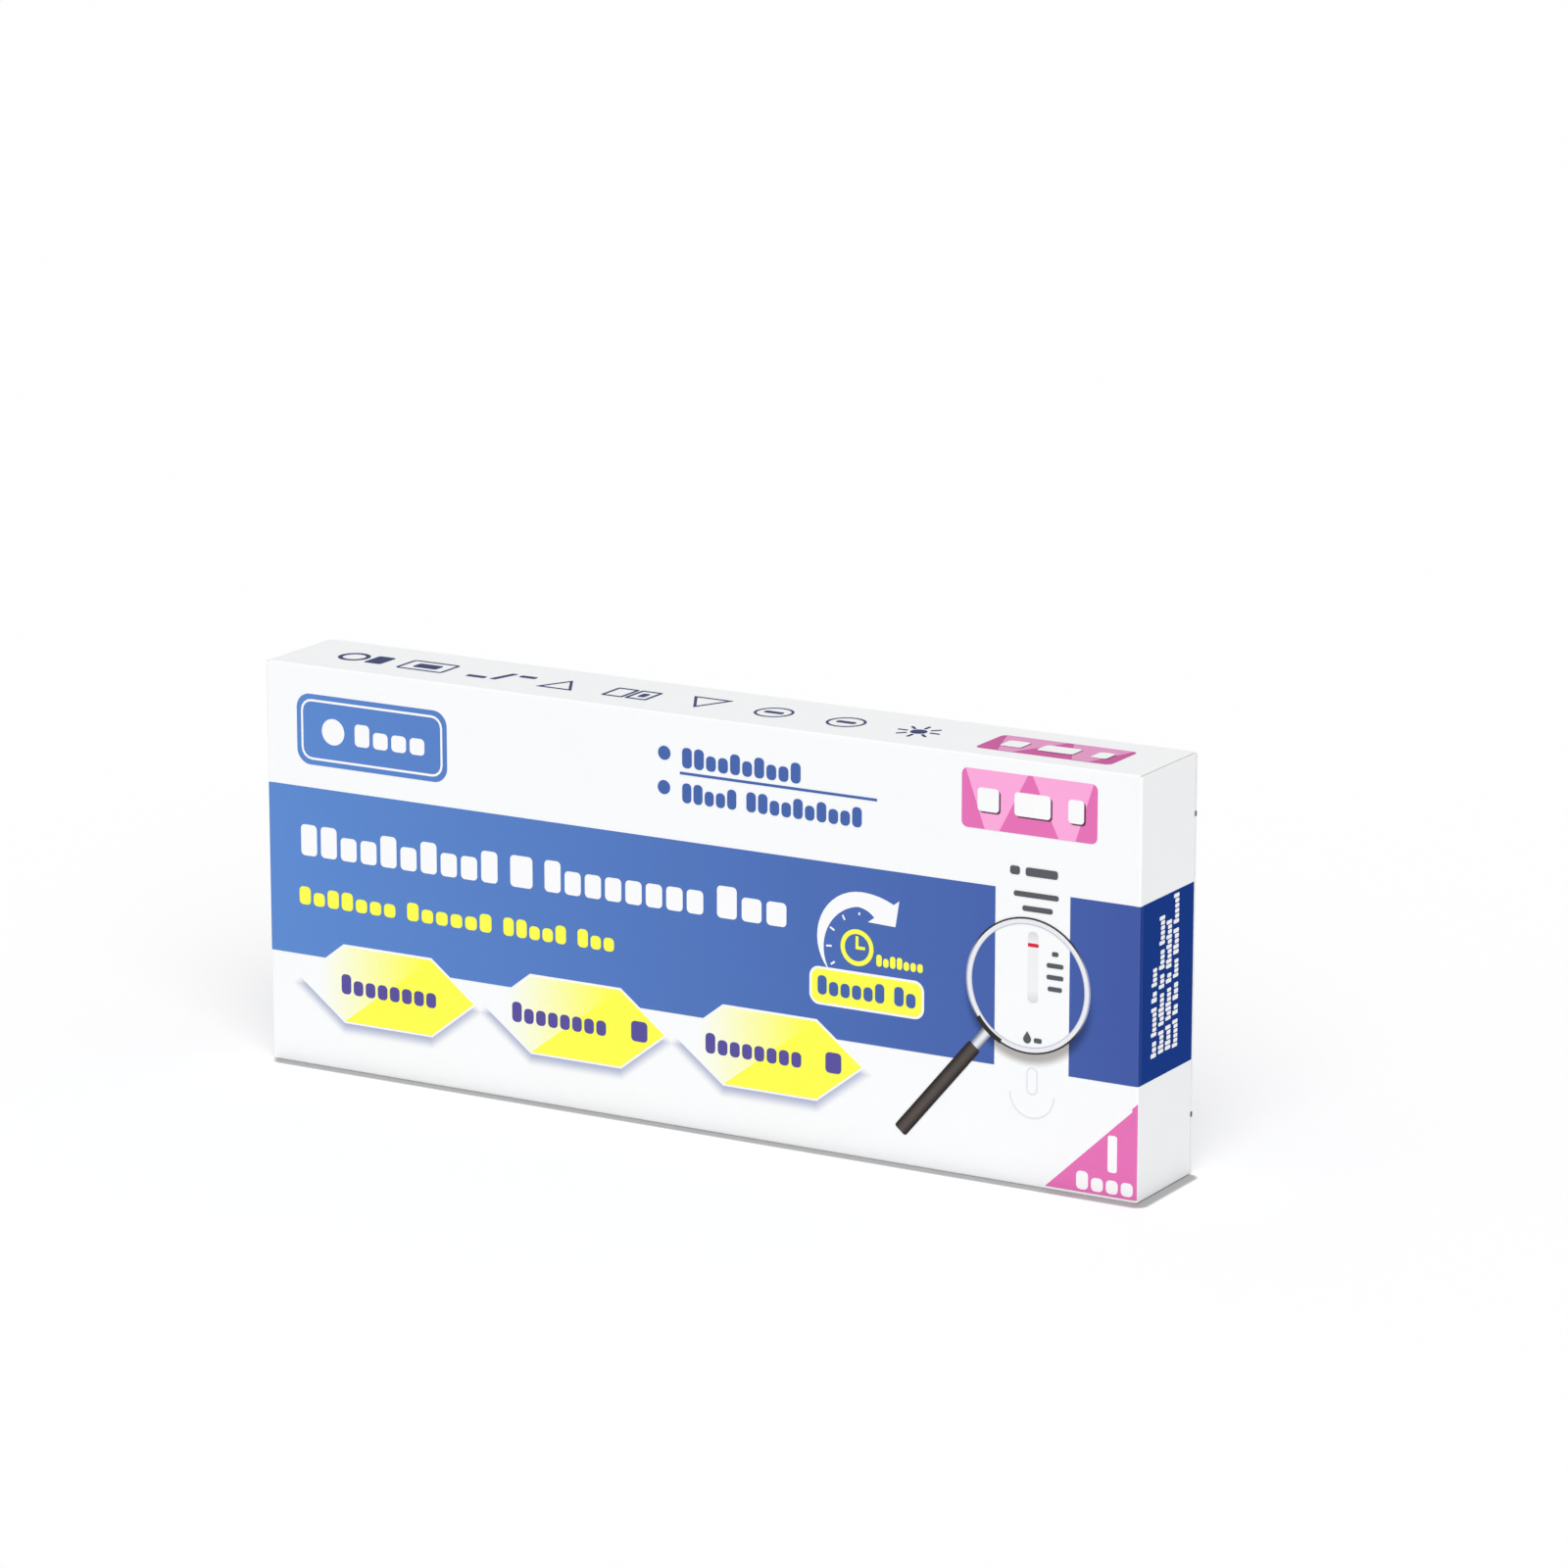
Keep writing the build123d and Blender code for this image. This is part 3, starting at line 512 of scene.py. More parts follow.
def hexagon_material(inks, sizes):
    """Yellow that fades to white at each hexagon's left, with a fold of light across it."""
    material, tree, shader = new_material("hexagon_ink", inks.gloss)
    row = group(tree, hexagon_group)
    along, up = row["Along"], row["Up"]
    rest = spread(tree, along, 0.0, 1.0, 9.0, -16.0)
    upper = maths(tree, "SUBTRACT", 1.0, maths(tree, "POWER", rest, 1.4))
    slope = HEXAGON_HEIGHT / HEXAGON_FLAT
    under = maths(tree, "LESS_THAN", up, maths(tree, "MULTIPLY", along, slope))
    label = maths(tree, "GREATER_THAN", up, HEXAGON_HEIGHT * 0.6)
    strength = maths(tree, "MAXIMUM", maths(tree, "MAXIMUM", upper, under), label)
    finish_ink(tree, shader, mixed(tree, strength, linear(inks.board), linear(inks.yellow)), sizes, 0.02)
    return material


def crease_material(inks, sizes):
    """The fold's outer skin: bare board above and below the band, and both bands' inks across it."""
    material, tree, shader = new_material("crease_ink", inks.gloss)
    point = split(tree, here(tree))
    over = maths(tree, "GREATER_THAN", point["Z"], BAND_BOTTOM * MM)
    under = maths(tree, "LESS_THAN", point["Z"], BAND_TOP * MM)
    in_band = maths(tree, "MULTIPLY", over, under)
    round_corner = maths(tree, "GREATER_THAN", point["Y"], BOARD_LOW.y + sizes.fold_radius * 0.3)
    band = mixed(tree, round_corner, band_colour(tree, inks), linear(inks.end_band))
    slant = maths(tree, "MULTIPLY", maths(tree, "SUBTRACT", point["X"], BOARD_HIGH.x), CORNER_SLOPE)
    below = maths(tree, "LESS_THAN", point["Z"], maths(tree, "ADD", slant, CORNER_TOP * MM))
    above = maths(tree, "GREATER_THAN", point["Z"], 0.6 * MM)
    at_right = maths(tree, "GREATER_THAN", point["X"], 0.0)
    in_corner = product(tree, below, above, at_right, maths(tree, "SUBTRACT", 1.0, round_corner))
    colour = mixed(tree, in_band, mixed(tree, in_corner, linear(inks.board), linear(inks.pink)), band)
    finish_ink(tree, shader, colour, sizes)
    return material


def window_material(inks, sizes):
    """The pictured window's pale grey, darker at its two ends."""
    material, tree, shader = new_material("window_grey", inks.gloss)
    height = split(tree, here(tree))["Z"]
    middle, half = (WINDOW_TOP + WINDOW_BOTTOM) / 2 * MM, (WINDOW_TOP - WINDOW_BOTTOM) / 2 * MM
    away = maths(tree, "ABSOLUTE", maths(tree, "SUBTRACT", height, middle))
    ends = ramp(tree, away, 0.6 * half, half)
    plain, darker = linear(screen(242, 243, 245)), linear(screen(224, 225, 227))
    finish_ink(tree, shader, mixed(tree, ends, plain, darker), sizes)
    return material


def rim_material(inks, sizes):
    """The lens's outline: dark at its top and bottom, pale at its sides."""
    material, tree, shader = new_material("rim_ink", inks.gloss)
    height = split(tree, here(tree))["Z"]
    away = maths(tree, "ABSOLUTE", maths(tree, "SUBTRACT", height, LENS_CENTRE[1] * MM))
    dark = ramp(tree, away, 0.3 * LENS_RADIUS * MM, 0.7 * LENS_RADIUS * MM)
    finish_ink(tree, shader, mixed(tree, dark, linear(screen(166, 170, 198)), linear(inks.rim)), sizes)
    return material


def rod_material(name, dark, light, half_width, inks, sizes):
    """A printed rod along the lens's handle, shaded across its width and darkest at its edges."""
    material, tree, shader = new_material(name, inks.gloss)
    start = DISPLAY.matrix @ Vector((HANDLE_END[0] * MM, HANDLE_END[1] * MM, 0))
    reach = Vector((HANDLE_COLLAR[0] - HANDLE_END[0], HANDLE_COLLAR[1] - HANDLE_END[1]))
    across = Vector((reach.y, 0, -reach.x)).normalized()
    away = vector(tree, "SUBTRACT", here(tree), tuple(start))
    side = vector(tree, "DOT_PRODUCT", away, tuple(across), "Value")
    share = maths(tree, "DIVIDE", maths(tree, "ABSOLUTE", side), half_width * MM)
    colour = mixed(tree, ramp(tree, share, 0.9, 0.1), linear(dark), linear(light))
    finish_ink(tree, shader, colour, sizes)
    return material


def leaflet_material(inks, sizes):
    """Thin paper printed with rows of small words."""
    material, tree, shader = new_material("leaflet_paper")
    fibre = group(tree, fibre_group, Size=sizes.fibre * 0.5, Unevenness=0.04)
    point = split(tree, here(tree))
    flat = wire(tree, "ShaderNodeCombineXYZ", {"X": point["X"], "Y": point["Z"]}).outputs[0]
    rows = wire(
        tree, "ShaderNodeTexBrick",
        {"Vector": flat, "Color1": (0, 0, 0, 1), "Color2": (0.3, 0.3, 0.3, 1), "Mortar": (1, 1, 1, 1),
         "Scale": 1.0, "Mortar Size": 0.0005, "Brick Width": 0.006, "Row Height": 0.0022},
        offset=0.37, squash=0.6, squash_frequency=3,
    )
    words = mixed(tree, 0.62, rows.outputs["Color"], (1.0, 1.0, 1.0, 1.0))
    colour = mixed(tree, 1.0, linear(inks.leaflet), words, "MULTIPLY")
    paper_colour(tree, shader, fibre, colour)
    shader.inputs["Roughness"].default_value = 0.8
    paper_bump(tree, shader, fibre, 0.3)
    return material


def foil_material(name, inks, crinkle):
    """Aluminium laminate with fine crinkles."""
    material, tree, shader = new_material(name)
    place = here(tree)
    cells = {"Vector": place, "Scale": 1.0 / crinkle}
    folds = wire(tree, "ShaderNodeTexVoronoi", cells, feature="DISTANCE_TO_EDGE")
    waves = noise(tree, place, 0.4 / crinkle, 3.0)
    height = maths(tree, "ADD", folds.outputs["Distance"], waves)
    bump = wire(tree, "ShaderNodeBump", {"Height": height, "Strength": 0.6, "Distance": 0.0006})
    tree.links.new(bump.outputs["Normal"], shader.inputs["Normal"])
    tree.links.new(spread(tree, waves, 0.22, 0.4), shader.inputs["Roughness"])
    shader.inputs["Base Color"].default_value = linear(inks.foil)
    shader.inputs["Metallic"].default_value = 0.92
    return material


def clear_material(name, colour, alpha, roughness):
    """A clear plastic film or a milky thin wall, with faint scuffs in its gloss."""
    material, tree, shader = new_material(name)
    scuffs = noise(tree, here(tree), 300.0, 3.0)
    tree.links.new(spread(tree, scuffs, roughness, roughness + 0.15), shader.inputs["Roughness"])
    shader.inputs["Base Color"].default_value = linear(colour)
    shader.inputs["Alpha"].default_value = alpha
    return material


def moulded_material(name, colour, roughness):
    """Moulded plastic with a very fine grain."""
    material, tree, shader = new_material(name)
    fibre = group(tree, fibre_group, Size=0.0004, Unevenness=0.02)
    paper_colour(tree, shader, fibre, linear(colour))
    shader.inputs["Roughness"].default_value = roughness
    paper_bump(tree, shader, fibre, 0.1)
    return material


def flock_material():
    """Short nylon fibres standing on the swab's tip."""
    material, tree, shader = new_material("swab_flock")
    fibre = group(tree, fibre_group, Size=0.00025, Unevenness=0.12)
    paper_colour(tree, shader, fibre, linear(screen(246, 246, 244)))
    shader.inputs["Roughness"].default_value = 0.95
    shader.inputs["Sheen Weight"].default_value = 0.4
    paper_bump(tree, shader, fibre, 1.0, 0.0002)
    return material


def give(node, material):
    """Puts a material on every slot of a CAD node."""
    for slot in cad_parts[node].material_slots:
        slot.material = material


# Flat printed shapes


class Panel:
    """A printed face of the carton, with its lower left corner and its two edges' directions."""

    def __init__(self, corner, along, up):
        out = along.cross(up)
        self.matrix = Matrix.Translation(corner) @ Matrix((along, up, out)).transposed().to_4x4()


DISPLAY = Panel(BOARD_LOW.copy(), Vector((1, 0, 0)), Vector((0, 0, 1)))
RIGHT_END = Panel(Vector((BOARD_HIGH.x, BOARD_LOW.y, BOARD_LOW.z)), Vector((0, 1, 0)), Vector((0, 0, 1)))
TOP = Panel(Vector((BOARD_LOW.x, BOARD_LOW.y, BOARD_HIGH.z)), Vector((1, 0, 0)), Vector((0, 1, 0)))
BACK = Panel(Vector((BOARD_HIGH.x, BOARD_HIGH.y, BOARD_LOW.z)), Vector((-1, 0, 0)), Vector((0, 0, 1)))


def bar(bm, left, bottom, right, top, corner=0.0):
    """A rectangle in millimetres on the drawing plane, with rounded corners."""
    size = Matrix.Diagonal((right - left, top - bottom, 1.0, 1.0))
    middle = Matrix.Translation(((left + right) / 2, (bottom + top) / 2, 0.0))
    verts = bmesh.ops.create_grid(bm, x_segments=1, y_segments=1, size=0.5, matrix=middle @ size)["verts"]
    radius = min(corner, 0.49 * (right - left), 0.49 * (top - bottom))
    if radius > 0:
        bmesh.ops.bevel(
            bm, geom=verts, offset=radius, offset_type="OFFSET", segments=4, profile=0.5,
            affect="VERTICES", material=-1,
        )


def words(bm, row, corner):
    """A row of plain bars, one for each word."""
    bottom, top, spans = row
    for left, right in spans:
        bar(bm, left, bottom, right, top, corner)


def letters(bm, row, corner):
    """A row of words as plain blocks, one for each letter, with a tall one at each word's start."""
    bottom, top, pitch, spans = row
    low_top = bottom + (top - bottom) * 0.74
    for left, right in spans:
        count = max(1, round((right - left) / pitch))
        step = (right - left) / (count - 0.2)
        for i in range(count):
            reach = top if i == 0 or (i * i + count) % 5 == 1 else low_top
            bar(bm, left + i * step, bottom, left + (i + 0.8) * step, reach, corner)


def disc(bm, centre, radius, segments=40):
    """A filled circle."""
    place = Matrix.Translation((*centre, 0.0))
    bmesh.ops.create_circle(bm, cap_ends=True, segments=segments, radius=radius, matrix=place)


def ring(bm, centre, outer, inner, start=0.0, sweep=2 * pi, steps=72):
    """A flat ring or part of one, swept from one radial edge."""
    turn = Matrix.Rotation(start, 4, "Z")
    near = bm.verts.new(turn @ Vector((inner, 0, 0)) + Vector((*centre, 0)))
    far = bm.verts.new(turn @ Vector((outer, 0, 0)) + Vector((*centre, 0)))
    edge = bm.edges.new((near, far))
    bmesh.ops.spin(
        bm, geom=[near, far, edge], cent=(*centre, 0), axis=(0, 0, 1), angle=sweep, steps=steps,
        use_merge=abs(sweep) > 6.28, use_duplicate=False,
    )


def frame_of_bar(bm, left, bottom, right, top, width, corner):
    """An outlined rectangle with rounded corners."""
    drawn = bmesh.new()
    bar(drawn, left, bottom, right, top, corner)
    outlined(bm, drawn, width)


def frame_of_polygon(bm, corners, width):
    """An outlined polygon."""
    drawn = bmesh.new()
    polygon(drawn, corners)
    outlined(bm, drawn, width)


def outlined(bm, drawn, width):
    """Adds a drawing's one face as an outline: its middle is inset and taken out."""
    bmesh.ops.inset_region(
        drawn, faces=drawn.faces[:], thickness=width, use_even_offset=True, use_boundary=True
    )
    middle = max(drawn.faces, key=lambda face: face.calc_area())
    bmesh.ops.delete(drawn, geom=[middle], context="FACES_ONLY")
    merge_into(bm, drawn)


def polygon(bm, corners):
    """A flat face with the given corners."""
    bm.faces.new([bm.verts.new((*corner, 0)) for corner in corners]).normal_update()


def arcs(bm, start, turns, steps=16):
    """The edges of a line that starts at a point and follows arcs, each a centre and an angle."""
    made = []
    end = bm.verts.new((*start, 0))
    for centre, angle in turns:
        before = set(bm.edges)
        last = bmesh.ops.spin(
            bm, geom=[end], cent=(*centre, 0), axis=(0, 0, 1), angle=radians(angle), steps=steps,
            use_duplicate=False,
        )["geom_last"]
        made += [edge for edge in bm.edges if edge not in before]
        end = next(item for item in last if isinstance(item, bmesh.types.BMVert))
    return made


def merge_into(bm, other):
    """Adds one drawing to another."""
    mesh = bpy.data.meshes.new("part")
    other.to_mesh(mesh)
    other.free()
    bm.from_mesh(mesh)
    bpy.data.meshes.remove(mesh)


def printed(name, bm, panel, level, material, body="carton"):
    """Gives a drawing its thickness, lays it on a panel over the ink, and makes it a piece."""
    scale = Matrix.Diagonal((MM, MM, MM, 1.0))
    bmesh.ops.transform(bm, matrix=scale, verts=bm.verts)
    thickness = INK + level * bpy.context.scene.carton_sizes.layer
    raised = bmesh.ops.extrude_face_region(bm, geom=bm.faces[:], use_keep_orig=True)["geom"]
    verts = [item for item in raised if isinstance(item, bmesh.types.BMVert)]
    bmesh.ops.translate(bm, vec=(0, 0, thickness), verts=verts)
    bmesh.ops.transform(bm, matrix=panel.matrix, verts=bm.verts)
    return as_piece(name, bm, material, body)


def as_piece(name, bm, material, body=None):
    """A finished mesh as an object that rides on a body."""
    bmesh.ops.remove_doubles(bm, verts=bm.verts, dist=1e-7)
    bmesh.ops.recalc_face_normals(bm, faces=bm.faces)
    mesh = bpy.data.meshes.new(name)
    bm.to_mesh(mesh)
    bm.free()
    mesh.materials.append(material)
    piece = bpy.data.objects.new(name, mesh)
    bpy.context.scene.collection.objects.link(piece)
    if body:
        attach(piece, body)
    return piece


def inks_of(context):
    """The user's colours and sizes."""
    return context.scene.carton_inks, context.scene.carton_sizes


class CARTON_OT_board(bpy.types.Operator):
    """Finish the board of the body, the end flaps and the tuck flaps"""

    bl_idname = "carton.board"
    bl_label = "Board"

    def execute(self, context):
        inks, sizes = inks_of(context)
        skin = Vector((1, 1, 1)) * 0.15 * MM
        low, high = BOARD_LOW + skin, BOARD_HIGH - skin
        board = board_material("coated_board", inks, sizes, low, high)
        for node in ("carton_body", "right_end_flap", "left_end_flap"):
            give(node, board)
        rear = (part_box("right_tuck_flap")[0].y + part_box("right_tuck_flap")[1].y) / 2
        tuck_high = Vector((high.x, rear, high.z))
        tuck = board_material("coated_tuck", inks, sizes, low, tuck_high)
        for node in ("right_tuck_flap", "left_tuck_flap"):
            give(node, tuck)
        return {"FINISHED"}


class CARTON_OT_fields(bpy.types.Operator):
    """Ink the band, the hexagons, the badges and the ends"""

    bl_idname = "carton.fields"
    bl_label = "Colour fields"

    def execute(self, context):
        inks, sizes = inks_of(context)
        give("blue_print", band_material(inks, sizes))
        give("yellow_print", hexagon_material(inks, sizes))
        give("pink_print", pink_material(inks, sizes))
        end = ink_material("end_band_ink", inks.end_band, inks, sizes, 0.2)
        give("right_end_print", end)
        give("left_end_print", end)
        return {"FINISHED"}


class CARTON_OT_titles(bpy.types.Operator):
    """Print the title, the line under it and the words of the hexagons and the label"""

    bl_idname = "carton.titles"
    bl_label = "Titles"

    def execute(self, context):
        inks, sizes = inks_of(context)
        corner = sizes.word_corner / MM
        white = ink_material("knocked_out_white", inks.paper_white, inks, sizes)
        yellow = ink_material("word_yellow", inks.yellow, inks, sizes)
        violet = ink_material("word_violet", inks.violet, inks, sizes)
        blue = ink_material("label_blue", inks.word_blue, inks, sizes)
        drawing = bmesh.new()
        letters(drawing, TITLE, corner)
        printed("title_words", drawing, DISPLAY, 1, white)
        drawing = bmesh.new()
        letters(drawing, SUBTITLE, corner)
        printed("subtitle_words", drawing, DISPLAY, 1, yellow)
        drawing = bmesh.new()
        middle = HEXAGON_BOTTOM + HEXAGON_HEIGHT / 2
        for spans in HEXAGON_WORDS:
            letters(drawing, (middle - 2.0, middle + 2.0, 2.7, spans), corner)
        printed("hexagon_words", drawing, DISPLAY, 1, violet)
        drawing = bmesh.new()
        letters(drawing, LABEL_WORDS, corner)
        printed("label_words", drawing, DISPLAY, 1, blue)
        return {"FINISHED"}


class CARTON_OT_screening(bpy.types.Operator):
    """Print the two short lines with their round marks, and the emblem's field"""

    bl_idname = "carton.screening"
    bl_label = "Short lines and emblem"

    def execute(self, context):
        inks, sizes = inks_of(context)
        blue = ink_material("line_blue", inks.word_blue, inks, sizes)
        white = ink_material("emblem_white", inks.paper_white, inks, sizes)
        drawing = bmesh.new()
        for row in SCREENING:
            letters(drawing, row, sizes.word_corner / MM)
        bar(drawing, 93.4, 68.6, 135.6, 69.1)
        for centre in ((90.0, 72.3), (89.9, 65.7)):
            disc(drawing, centre, 1.35)
        printed("short_lines", drawing, DISPLAY, 1, blue)
        drawing = bmesh.new()
        frame_of_bar(drawing, 8.0, 61.4, 40.5, 73.4, 0.45, 2.4)
        disc(drawing, (15.4, 67.4), 2.6)
        letters(drawing, EMBLEM_WORD, sizes.word_corner / MM)
        printed("emblem_marks", drawing, DISPLAY, 1, white)
        return {"FINISHED"}


class CARTON_OT_badges(bpy.types.Operator):
    """Print the facets and words of the badges and the corner"""

    bl_idname = "carton.badges"
    bl_label = "Badges"

    def execute(self, context):
        inks, sizes = inks_of(context)
        facet = ink_material("facet_pink", inks.light_pink, inks, sizes)
        white = ink_material("badge_white", inks.paper_white, inks, sizes)
        under = ink_material("badge_shade", screen(104, 66, 88), inks, sizes)
        top_facet = ink_material("top_facet_pink", inks.top_light_pink, inks, sizes)
        for name, panel, bottom, top, light in (
            ("badge", DISPLAY, 66.2, 77.3, facet), ("top_badge", TOP, 4.6, 15.8, top_facet)
        ):
            drawing = bmesh.new()
            for top_left, low_left, low_right, top_right in BADGE_FACETS:
                corners = ((top_left, top), (low_left, bottom), (low_right, bottom), (top_right, top))
                polygon(drawing, [(BADGE_LEFT + x, y) for x, y in corners])
            printed(name + "_facets", drawing, panel, 1, light)
            middle = (bottom + top) / 2
            drawing = bmesh.new()
            words(drawing, (middle - 2.5, middle + 1.9, BADGE_WORDS), 0.7)
            bmesh.ops.translate(drawing, vec=(0.35, 0, 0), verts=drawing.verts)
            printed(name + "_word_shade", drawing, panel, 2, under)
            drawing = bmesh.new()
            words(drawing, (middle - 2.2, middle + 2.2, BADGE_WORDS), 0.7)
            printed(name + "_words", drawing, panel, 3, white)
        drawing = bmesh.new()
        bar(drawing, 184.0, 5.2, 185.9, 12.2, 0.5)
        letters(drawing, CORNER_WORDS, sizes.word_corner / MM)
        printed("corner_words", drawing, DISPLAY, 1, white)
        return {"FINISHED"}


class CARTON_OT_clock(bpy.types.Operator):
    """Print the clock arrow, the dial's marks and the words beside it"""

    bl_idname = "carton.clock"
    bl_label = "Clock arrow"

    def execute(self, context):
        inks, sizes = inks_of(context)
        white = ink_material("arrow_white", inks.paper_white, inks, sizes)
        yellow = ink_material("clock_yellow", inks.yellow, inks, sizes)
        drawing = bmesh.new()
        outer = arcs(drawing, ARROW_TAIL, ARROW_OUTER)
        inner = arcs(drawing, (ARROW_TAIL[0] + 0.1, ARROW_TAIL[1] - 0.05), ARROW_INNER)
        bmesh.ops.bridge_loops(drawing, edges=outer + inner)
        for angle, radius, length in DIAL_MARKS:
            self.mark(drawing, angle, radius, length)
        printed("clock_arrow", drawing, DISPLAY, 1, white)
        drawing = bmesh.new()
        polygon(drawing, ARROW_HEAD)
        printed("clock_arrow_head", drawing, DISPLAY, 2, white)
        drawing = bmesh.new()
        ring(drawing, DIAL_CENTRE, 3.5, 2.6, steps=48)
        hands = bmesh.new()
        polygon(hands, ((-0.3, 2.2), (-0.3, -0.3), (1.7, -0.3), (1.7, 0.3), (0.3, 0.3), (0.3, 2.2)))
        bmesh.ops.translate(hands, vec=(*DIAL_CENTRE, 0), verts=hands.verts)
        merge_into(drawing, hands)
        letters(drawing, CLOCK_WORDS, sizes.word_corner / MM)
        printed("clock_words", drawing, DISPLAY, 2, yellow)
        return {"FINISHED"}

    def mark(self, drawing, angle, radius, length):
        """One short mark of the dial."""
        mark = bmesh.new()
        bar(mark, radius, -0.18, radius + length, 0.18)
        turn = Matrix.Translation((*DIAL_CENTRE, 0)) @ Matrix.Rotation(radians(angle), 4, "Z")
        bmesh.ops.transform(mark, matrix=turn, verts=mark.verts)
        merge_into(drawing, mark)


class CARTON_OT_cassette(bpy.types.Operator):
    """Print the picture of a test cassette"""

    bl_idname = "carton.cassette"
    bl_label = "Pictured cassette"

    def execute(self, context):
        inks, sizes = inks_of(context)
        grey = ink_material("cassette_words_grey", inks.grey, inks, sizes)
        pale = ink_material("cassette_edge", inks.pale_grey, inks, sizes)
        red = ink_material("test_line_red", inks.red, inks, sizes)
        window = CASSETTE_MIDDLE
        drawing = bmesh.new()
        centre = (window, CASSETTE_BOTTOM + CASSETTE_ROUND)
        ring(drawing, centre, CASSETTE_ROUND, CASSETTE_ROUND - 0.3, pi, pi, 32)
        frame_of_bar(drawing, window - 1.2, 17.4, window + 1.2, 22.7, 0.3, 1.2)
        printed("cassette_edges", drawing, DISPLAY, 1, pale)
        drawing = bmesh.new()
        bar(drawing, window - 1.1, WINDOW_BOTTOM, window + 1.1, WINDOW_TOP, 0.9)
        printed("cassette_window", drawing, DISPLAY, 1, window_material(inks, sizes))
        drawing = bmesh.new()
        bar(drawing, window - 1.1, 45.4, window + 1.1, 46.1, 0.2)
        printed("cassette_test_line", drawing, DISPLAY, 2, red)
        drawing = bmesh.new()
        for *row, corner in CASSETTE_WORDS:
            words(drawing, row, corner)
        self.drop(drawing, (167.2, 27.9), 0.8, 29.4)
        printed("cassette_words", drawing, DISPLAY, 2, grey)
        return {"FINISHED"}

    def drop(self, drawing, centre, radius, tip):
        """A falling drop: a circle with a point at its top."""
        steps = 20
        turns = [radians(150 + 240 * i / steps) for i in range(steps + 1)]
        corners = [(centre[0] + radius * cos(t), centre[1] + radius * sin(t)) for t in turns]
        polygon(drawing, [(centre[0], tip)] + corners)


class CARTON_OT_lens(bpy.types.Operator):
    """Print the picture of a lens with its handle"""

    bl_idname = "carton.lens"
    bl_label = "Pictured lens"

    def execute(self, context):
        inks, sizes = inks_of(context)
        dark = ink_material("lens_holder", inks.rim, inks, sizes)
        bright = ink_material("lens_rim", screen(236, 238, 243), inks, sizes)
        pale = ink_material("lens_inner_edge", screen(196, 198, 206), inks, sizes)
        for name, outer, inner, level, ink in (
            ("lens_outline", 0.25, -0.05, 4, rim_material(inks, sizes)),
            ("lens_rim", -0.05, -0.85, 3, bright),
            ("lens_inner_edge", -0.85, -1.0, 4, pale),
        ):
            drawing = bmesh.new()
            ring(drawing, LENS_CENTRE, LENS_RADIUS + outer, LENS_RADIUS + inner)
            printed(name, drawing, DISPLAY, level, ink)
        drawing = bmesh.new()
        ring(drawing, LENS_CENTRE, LENS_RADIUS + 0.4, LENS_RADIUS - 0.5, radians(215), radians(29), 20)
        printed("lens_holder", drawing, DISPLAY, 5, dark)
        collar = rod_material("collar_metal", screen(120, 124, 134), screen(232, 235, 242), 1.2, inks, sizes)
        self.shaft("lens_collar", HANDLE_START, HANDLE_COLLAR, 2.2, 3, collar)
        handle = rod_material("handle_ink", inks.handle, screen(88, 81, 78), 1.5, inks, sizes)
        self.shaft("lens_handle", HANDLE_COLLAR, HANDLE_END, 2.9, 4, handle)
        return {"FINISHED"}

    def shaft(self, name, start, end, width, level, material):
        """A bar from one point to another."""
        reach = Vector((end[0] - start[0], end[1] - start[1], 0))
        drawing = bmesh.new()
        bar(drawing, 0.0, -width / 2, reach.length, width / 2, 0.5)
        turn = Matrix.Translation((*start, 0)) @ Matrix.Rotation(atan2(reach.y, reach.x), 4, "Z")
        bmesh.ops.transform(drawing, matrix=turn, verts=drawing.verts)
        printed(name, drawing, DISPLAY, level, material)


class CARTON_OT_symbols(bpy.types.Operator):
    """Print the row of small shapes on the top panel"""

    bl_idname = "carton.symbols"
    bl_label = "Top row"

    def execute(self, context):
        inks, sizes = inks_of(context)
        blue = ink_material("symbol_blue", inks.symbol_blue, inks, sizes)
        drawing = bmesh.new()
        line = 0.55
        ring(drawing, (13.4, 10.6), 3.2, 2.3, steps=32)
        bar(drawing, 17.5, 7.6, 21.3, 13.4, 0.5)
        frame_of_bar(drawing, 25.2, 6.9, 35.8, 14.1, line, 0.8)
        words(drawing, (9.0, 12.0, ((27.8, 33.2),)), 0.5)
        words(drawing, (7.4, 8.8, ((41.0, 45.2),)), 0.4)
        polygon(drawing, ((46.4, 7.6), (47.6, 7.6), (49.2, 13.4), (48.0, 13.4)))
        words(drawing, (11.6, 13.0, ((50.4, 54.0),)), 0.4)
        frame_of_polygon(drawing, ((57.4, 6.8), (65.3, 6.8), (61.2, 14.0)), line)
        frame_of_bar(drawing, 71.8, 6.8, 76.5, 13.5, line, 0.4)
        frame_of_bar(drawing, 77.0, 6.8, 81.7, 13.5, line, 0.4)
        bar(drawing, 78.6, 8.8, 80.1, 11.5, 0.4)
        frame_of_polygon(drawing, ((87.9, 14.5), (92.4, 6.5), (96.4, 14.5)), line)
        for centre in ((107.7, 10.3), (123.3, 10.1)):
            ring(drawing, centre, 3.8, 3.3, steps=40)
            words(drawing, (centre[1] - 0.7, centre[1] + 0.7, ((centre[0] - 2.0, centre[0] + 2.0),)), 0.5)
        disc(drawing, BURST_CENTRE, 1.6, segments=28)
        for i in range(8):
            ray = bmesh.new()
            bar(ray, 2.3, -0.28, 4.4, 0.28, 0.2)
            turn = Matrix.Translation((*BURST_CENTRE, 0)) @ Matrix.Rotation(i * pi / 4, 4, "Z")
            bmesh.ops.transform(ray, matrix=turn, verts=ray.verts)
            merge_into(drawing, ray)
        printed("top_row_shapes", drawing, TOP, 1, blue)
        return {"FINISHED"}


